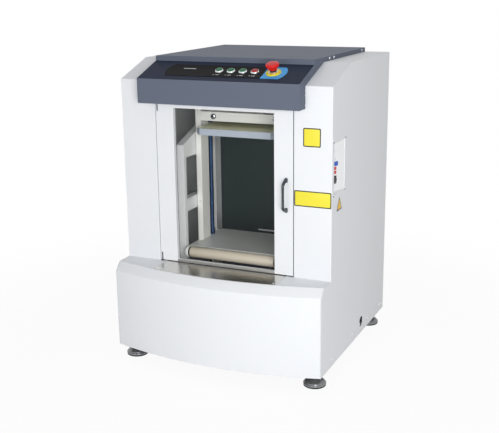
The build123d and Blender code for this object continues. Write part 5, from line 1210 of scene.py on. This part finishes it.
@dataclass
class Shaker:
    """Stands, cradle, roller, clamp and drive inside the cabinet."""

    bench: Bench
    repeat: Repeater
    screw_x: float = 0.181
    screw_depth: float = 0.268
    thread_low: float = 0.4095
    thread_length: float = 0.44
    lead: float = 0.02
    roller_depth: float = 0.060
    roller_z: float = 0.376
    roller_half: float = 0.171
    roller_ring: float = 0.0115
    beam_bolt_x: float = 0.116
    beam_bolt_z: float = 0.843
    beam_front_y: float = -0.0755

    def dress(self) -> None:
        """Builds the mechanism's pieces."""
        # The control enclosure takes the covers' slightly darker painted shade.
        self.bench.soften_each(("left_stand", STAND_CREAM, 0.0007), ("right_stand", STAND_CREAM, 0.0007),
                               ("cradle_uprights", CRADLE_CREAM, 0.0009), ("top_beam", CRADLE_CREAM, 0.0009),
                               ("lower_cradle_frame", CRADLE_CREAM, 0.0009),
                               ("platform", PLATFORM_STEEL, 0.0006), ("head_plate", CRADLE_CREAM, 0.0006),
                               ("roller_brackets", CRADLE_CREAM, 0.0005),
                               ("control_enclosure", COVER_INSIDE_SHADE, 0.0008),
                               ("clamp_carriage", CLAMP_KHAKI, 0.0006))
        self.clamp_plate()
        self.roller()
        self.screws()
        self.beam_bolts()

    def clamp_plate(self) -> None:
        """Khaki clamp plate whose turned-down edges are painted light blue-grey."""

        def edge(face: Face) -> int:
            """Index 1 for the upright flanges' outer faces."""
            return 1 if abs(face.normal.z) < 0.3 else 0

        self.bench.softened("clamp_plate", (CLAMP_KHAKI, CLAMP_EDGE), 0.0008, sort_faces=edge)

    def roller(self) -> None:
        """Feed roller with rounded shoulders, and its white end rings."""
        place = facing((0, behind(self.roller_depth), self.roller_z), -UP, ACROSS)
        half = self.roller_half
        end = half - self.roller_ring
        sleeve = [(0.0120, -end), (0.0182, -end), (0.0190, -end + 0.0010), (0.0190, end - 0.0010),
                  (0.0182, end), (0.0120, end)]
        self.bench.place("roller_sleeve", ring_lathe(sleeve, place, 72), ROLLER_BEIGE, "roller", 40.0,
                         ["feed_roller"])
        necks = []
        rings = []
        for side in (-1, 1):
            low, high = sorted((side * end, side * (half - 0.004)))
            necks.append(ring_lathe([(0.0125, low), (0.0168, low), (0.0168, high), (0.0125, high)],
                                    place, 56))
            low, high = sorted((side * (half - 0.0048), side * half))
            rings.append(ring_lathe([(0.0130, low), (0.0186, low), (0.0194, low + 0.0010),
                                     (0.0194, high - 0.0010), (0.0186, high), (0.0130, high)], place, 56))
        self.bench.place("roller_necks", merged(necks), BELT_BLACK, "roller", 40.0)
        self.bench.place("roller_end_rings", merged(rings), WHITE_MOULDED, "roller", 40.0)

    def screws(self) -> None:
        """Four-start threads on both clamp screws."""
        for name, side in SIDES:
            place = Matrix.Translation((side * self.screw_x, behind(self.screw_depth), self.thread_low))
            self.repeat.thread(name + "_screw_thread", SCREW_BLUE, name + "_screw", place, 0.0079, self.lead,
                               self.thread_length)

    def beam_bolts(self) -> None:
        """Flanged bolts on the front of the top beam."""
        washer = lathe([(0, -0.0003), (0.0072, -0.0003), (0.0072, 0.0008), (0.0066, 0.0012), (0, 0.0012)],
                       AT_ORIGIN, 28)
        head = lathe([(0, 0), (0.0042, 0), (0.0042, 0.0036), (0.0038, 0.0040), (0, 0.0040)], AT_ORIGIN, 6)
        spots = [(Vector((side * self.beam_bolt_x, self.beam_front_y, self.beam_bolt_z)), FRONT)
                 for side in (-1, 1)]
        self.repeat.spread("beam_bolt_washers", washer, spots, BRIGHT_STEEL, "cradle")
        self.repeat.spread("beam_bolt_heads", head, spots, CHROME_PAINTED_DARK_REFLECTION, "cradle")


@dataclass
class ServicePocket:
    """Sunk pocket on the right side with the main switch and plain patches."""

    bench: Bench
    repeat: Repeater
    front_depth: float = 0.017
    length: float = 0.106
    sink: float = 0.028
    low_z: float = 0.638
    height: float = 0.163

    def dress(self) -> None:
        """Builds the pocket's pieces."""
        self.bench.soften_each(("service_pocket", POCKET_WHITE, 0.0006),
                               ("switch_housing", BLACK_MOULDED, 0.0004),
                               ("main_switch_rocker", BLACK_MOULDED, 0.0005))
        self.patches()
        screws = [(self.spot(*at).translation, self.out()) for at in ((0.053, 0.769), (0.054, 0.7425))]
        self.repeat.spread("pocket_screws", cross_head(0.0034, 0.0016), screws, BRIGHT_STEEL, "cabinet")
        rim = [(Vector((SIDE_X, behind(d), z)), ACROSS)
               for d in (self.front_depth - 0.0045, self.front_depth + self.length + 0.0045)
               for z in (self.low_z - 0.005, self.low_z + self.height + 0.005)]
        self.repeat.spread("pocket_rim_screws", cross_head(0.0030, 0.0012), rim, SHAFT_STEEL, "cabinet")

    def out(self) -> Vector:
        """Outward direction of the slanted face."""
        slope = math.atan2(self.sink, self.length)
        return Vector((math.cos(slope), -math.sin(slope), 0))

    def spot(self, along: float, z: float, lift: float = 0.0) -> Matrix:
        """Local to row frame for a place on the slanted face, its Y upwards."""
        out = self.out()
        run = Vector((-out.y, out.x, 0))
        start = Vector((SIDE_X - self.sink, behind(self.front_depth), z))
        return facing(tuple(start + run * along + out * lift), run, out)

    def patches(self) -> None:
        """Bare blue and red patches above the switch."""
        blue = badge(0.022, 0.0150, 0.0040, 0.0002, self.spot(0.0585, 0.7276, 0.0001))
        self.bench.place("blue_patch", blue, PATCH_BLUE, "cabinet")
        reds = [badge(0.0135, 0.0108, 0.0020, 0.0002, self.spot(0.0530, z, 0.0001)) for z in (0.7130, 0.7000)]
        self.bench.place("red_patches", merged(reds), PATCH_RED, "cabinet")


@dataclass
class Studio:
    """Pale floor, soft studio light and the camera."""

    camera_at: tuple[float, float, float] = (1.274, -2.841, 1.301)
    turn: float = 24.41
    tilt: float = 14.85
    roll: float = -0.70
    lens: float = 64.43

    def build(self) -> None:
        """Builds the studio."""
        self.camera()
        self.floor()
        self.world()
        self.lamps()

    def camera(self) -> None:
        """Camera at the viewing angle."""
        data = bpy.data.cameras.new("view")
        data.lens = self.lens
        data.sensor_width = 36.0
        camera = linked("view", data)
        turn = (Matrix.Rotation(math.radians(self.turn), 4, "Z")
                @ Matrix.Rotation(math.radians(90 - self.tilt), 4, "X")
                @ Matrix.Rotation(math.radians(self.roll), 4, "Z"))
        camera.matrix_world = Matrix.Translation(self.camera_at) @ turn
        bpy.context.scene.camera = camera

    @staticmethod
    def _seen(w: Wiring) -> Socket:
        """Whether a ray comes from the camera, a reflection or a clear pane."""
        path = w.add("ShaderNodeLightPath")
        either = w.maths("MAXIMUM", path.outputs["Is Camera Ray"], path.outputs["Is Glossy Ray"])
        return w.maths("MAXIMUM", either, path.outputs["Is Transmission Ray"])

    @staticmethod
    def _mixed(w: Wiring, kind: str, share: Socket, first: Node, second: Node) -> None:
        """Ends a tree in an output node of some kind, with a mix of two shaders."""
        mix = w.add("ShaderNodeMixShader")
        for socket, value in zip(mix.inputs, (share, first, second)):
            w.join(value, socket)
        w.add(kind, Surface=mix)

    def floor(self) -> None:
        """White floor that keeps a faint contact shadow."""
        shape = bmesh.new()
        shape.faces.new([shape.verts.new((x, y, 0)) for x, y in rectangle(18, 18)])
        floor = linked("floor", mesh_of(shape, "floor"))
        material = bpy.data.materials.new("floor_white")
        w = emptied(material)
        matt = w.add("ShaderNodeBsdfDiffuse", Color=(0.93, 0.93, 0.93, 1))
        glow = w.add("ShaderNodeEmission", Color=(1, 1, 1, 1), Strength=1.0)
        away = w.add("ShaderNodeVectorMath", operation="LENGTH")
        w.join(w.add("ShaderNodeTexCoord").outputs["Object"], away.inputs[0])
        far = w.add("ShaderNodeMapRange", interpolation_type="SMOOTHSTEP", From_Min=0.7, From_Max=1.9,
                    To_Min=0.94, To_Max=1.0, Value=away.outputs["Value"])
        self._mixed(w, "ShaderNodeOutputMaterial", w.maths("MULTIPLY", self._seen(w), far.outputs["Result"]),
                    matt, glow)
        floor.data.materials.append(material)

    def world(self) -> None:
        """Pure white behind the object, softer white for its light."""
        world = bpy.data.worlds.new("studio")
        bpy.context.scene.world = world
        w = emptied(world)
        light = w.add("ShaderNodeBackground", Color=(0.97, 0.98, 1.0, 1), Strength=0.26)
        seen = w.add("ShaderNodeBackground", Color=(1, 1, 1, 1), Strength=1.0)
        self._mixed(w, "ShaderNodeOutputWorld", self._seen(w), light, seen)

    @staticmethod
    def lamps() -> None:
        """Large soft lamps: a key from the front right, weak ones in front and beside, and one overhead."""
        for name, place, aim, size, power in (
                ("key", (1.95, -3.15, 1.15), (0, 0, 0.5), 1.5, 66.0),
                ("front", (-0.2, -3.6, 0.8), (0, 0, 0.6), 1.4, 17.0),
                ("side", (3.4, -0.5, 1.6), (0, 0, 0.7), 2.0, 4.0),
                ("overhead", (0.3, -0.4, 3.4), (0, 0, 0.5), 2.6, 13.0)):
            data = bpy.data.lights.new(name, "AREA")
            data.size = size
            data.energy = power
            turn = (Vector(aim) - Vector(place)).to_track_quat("-Z", "Y").to_matrix().to_4x4()
            linked(name, data).matrix_world = Matrix.Translation(place) @ turn


def main() -> None:
    """Builds the studio and every sub-assembly over the CAD frame."""
    logging.basicConfig(level=logging.INFO, format="%(name)s: %(message)s")
    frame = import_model()
    bpy.context.scene.view_settings.view_transform = "Standard"
    Studio().build()
    bench = Bench(frame)
    bench.leftovers()
    repeat = Repeater(bench)
    for assembly in (Cabinet(bench, repeat), Console(bench, repeat), Door(bench), Shaker(bench, repeat),
                     ServicePocket(bench, repeat)):
        assembly.dress()
        log.info("%s dressed", type(assembly).__name__)
    log.info("%d pieces", bench.count)


if __name__ == "__main__":
    main()
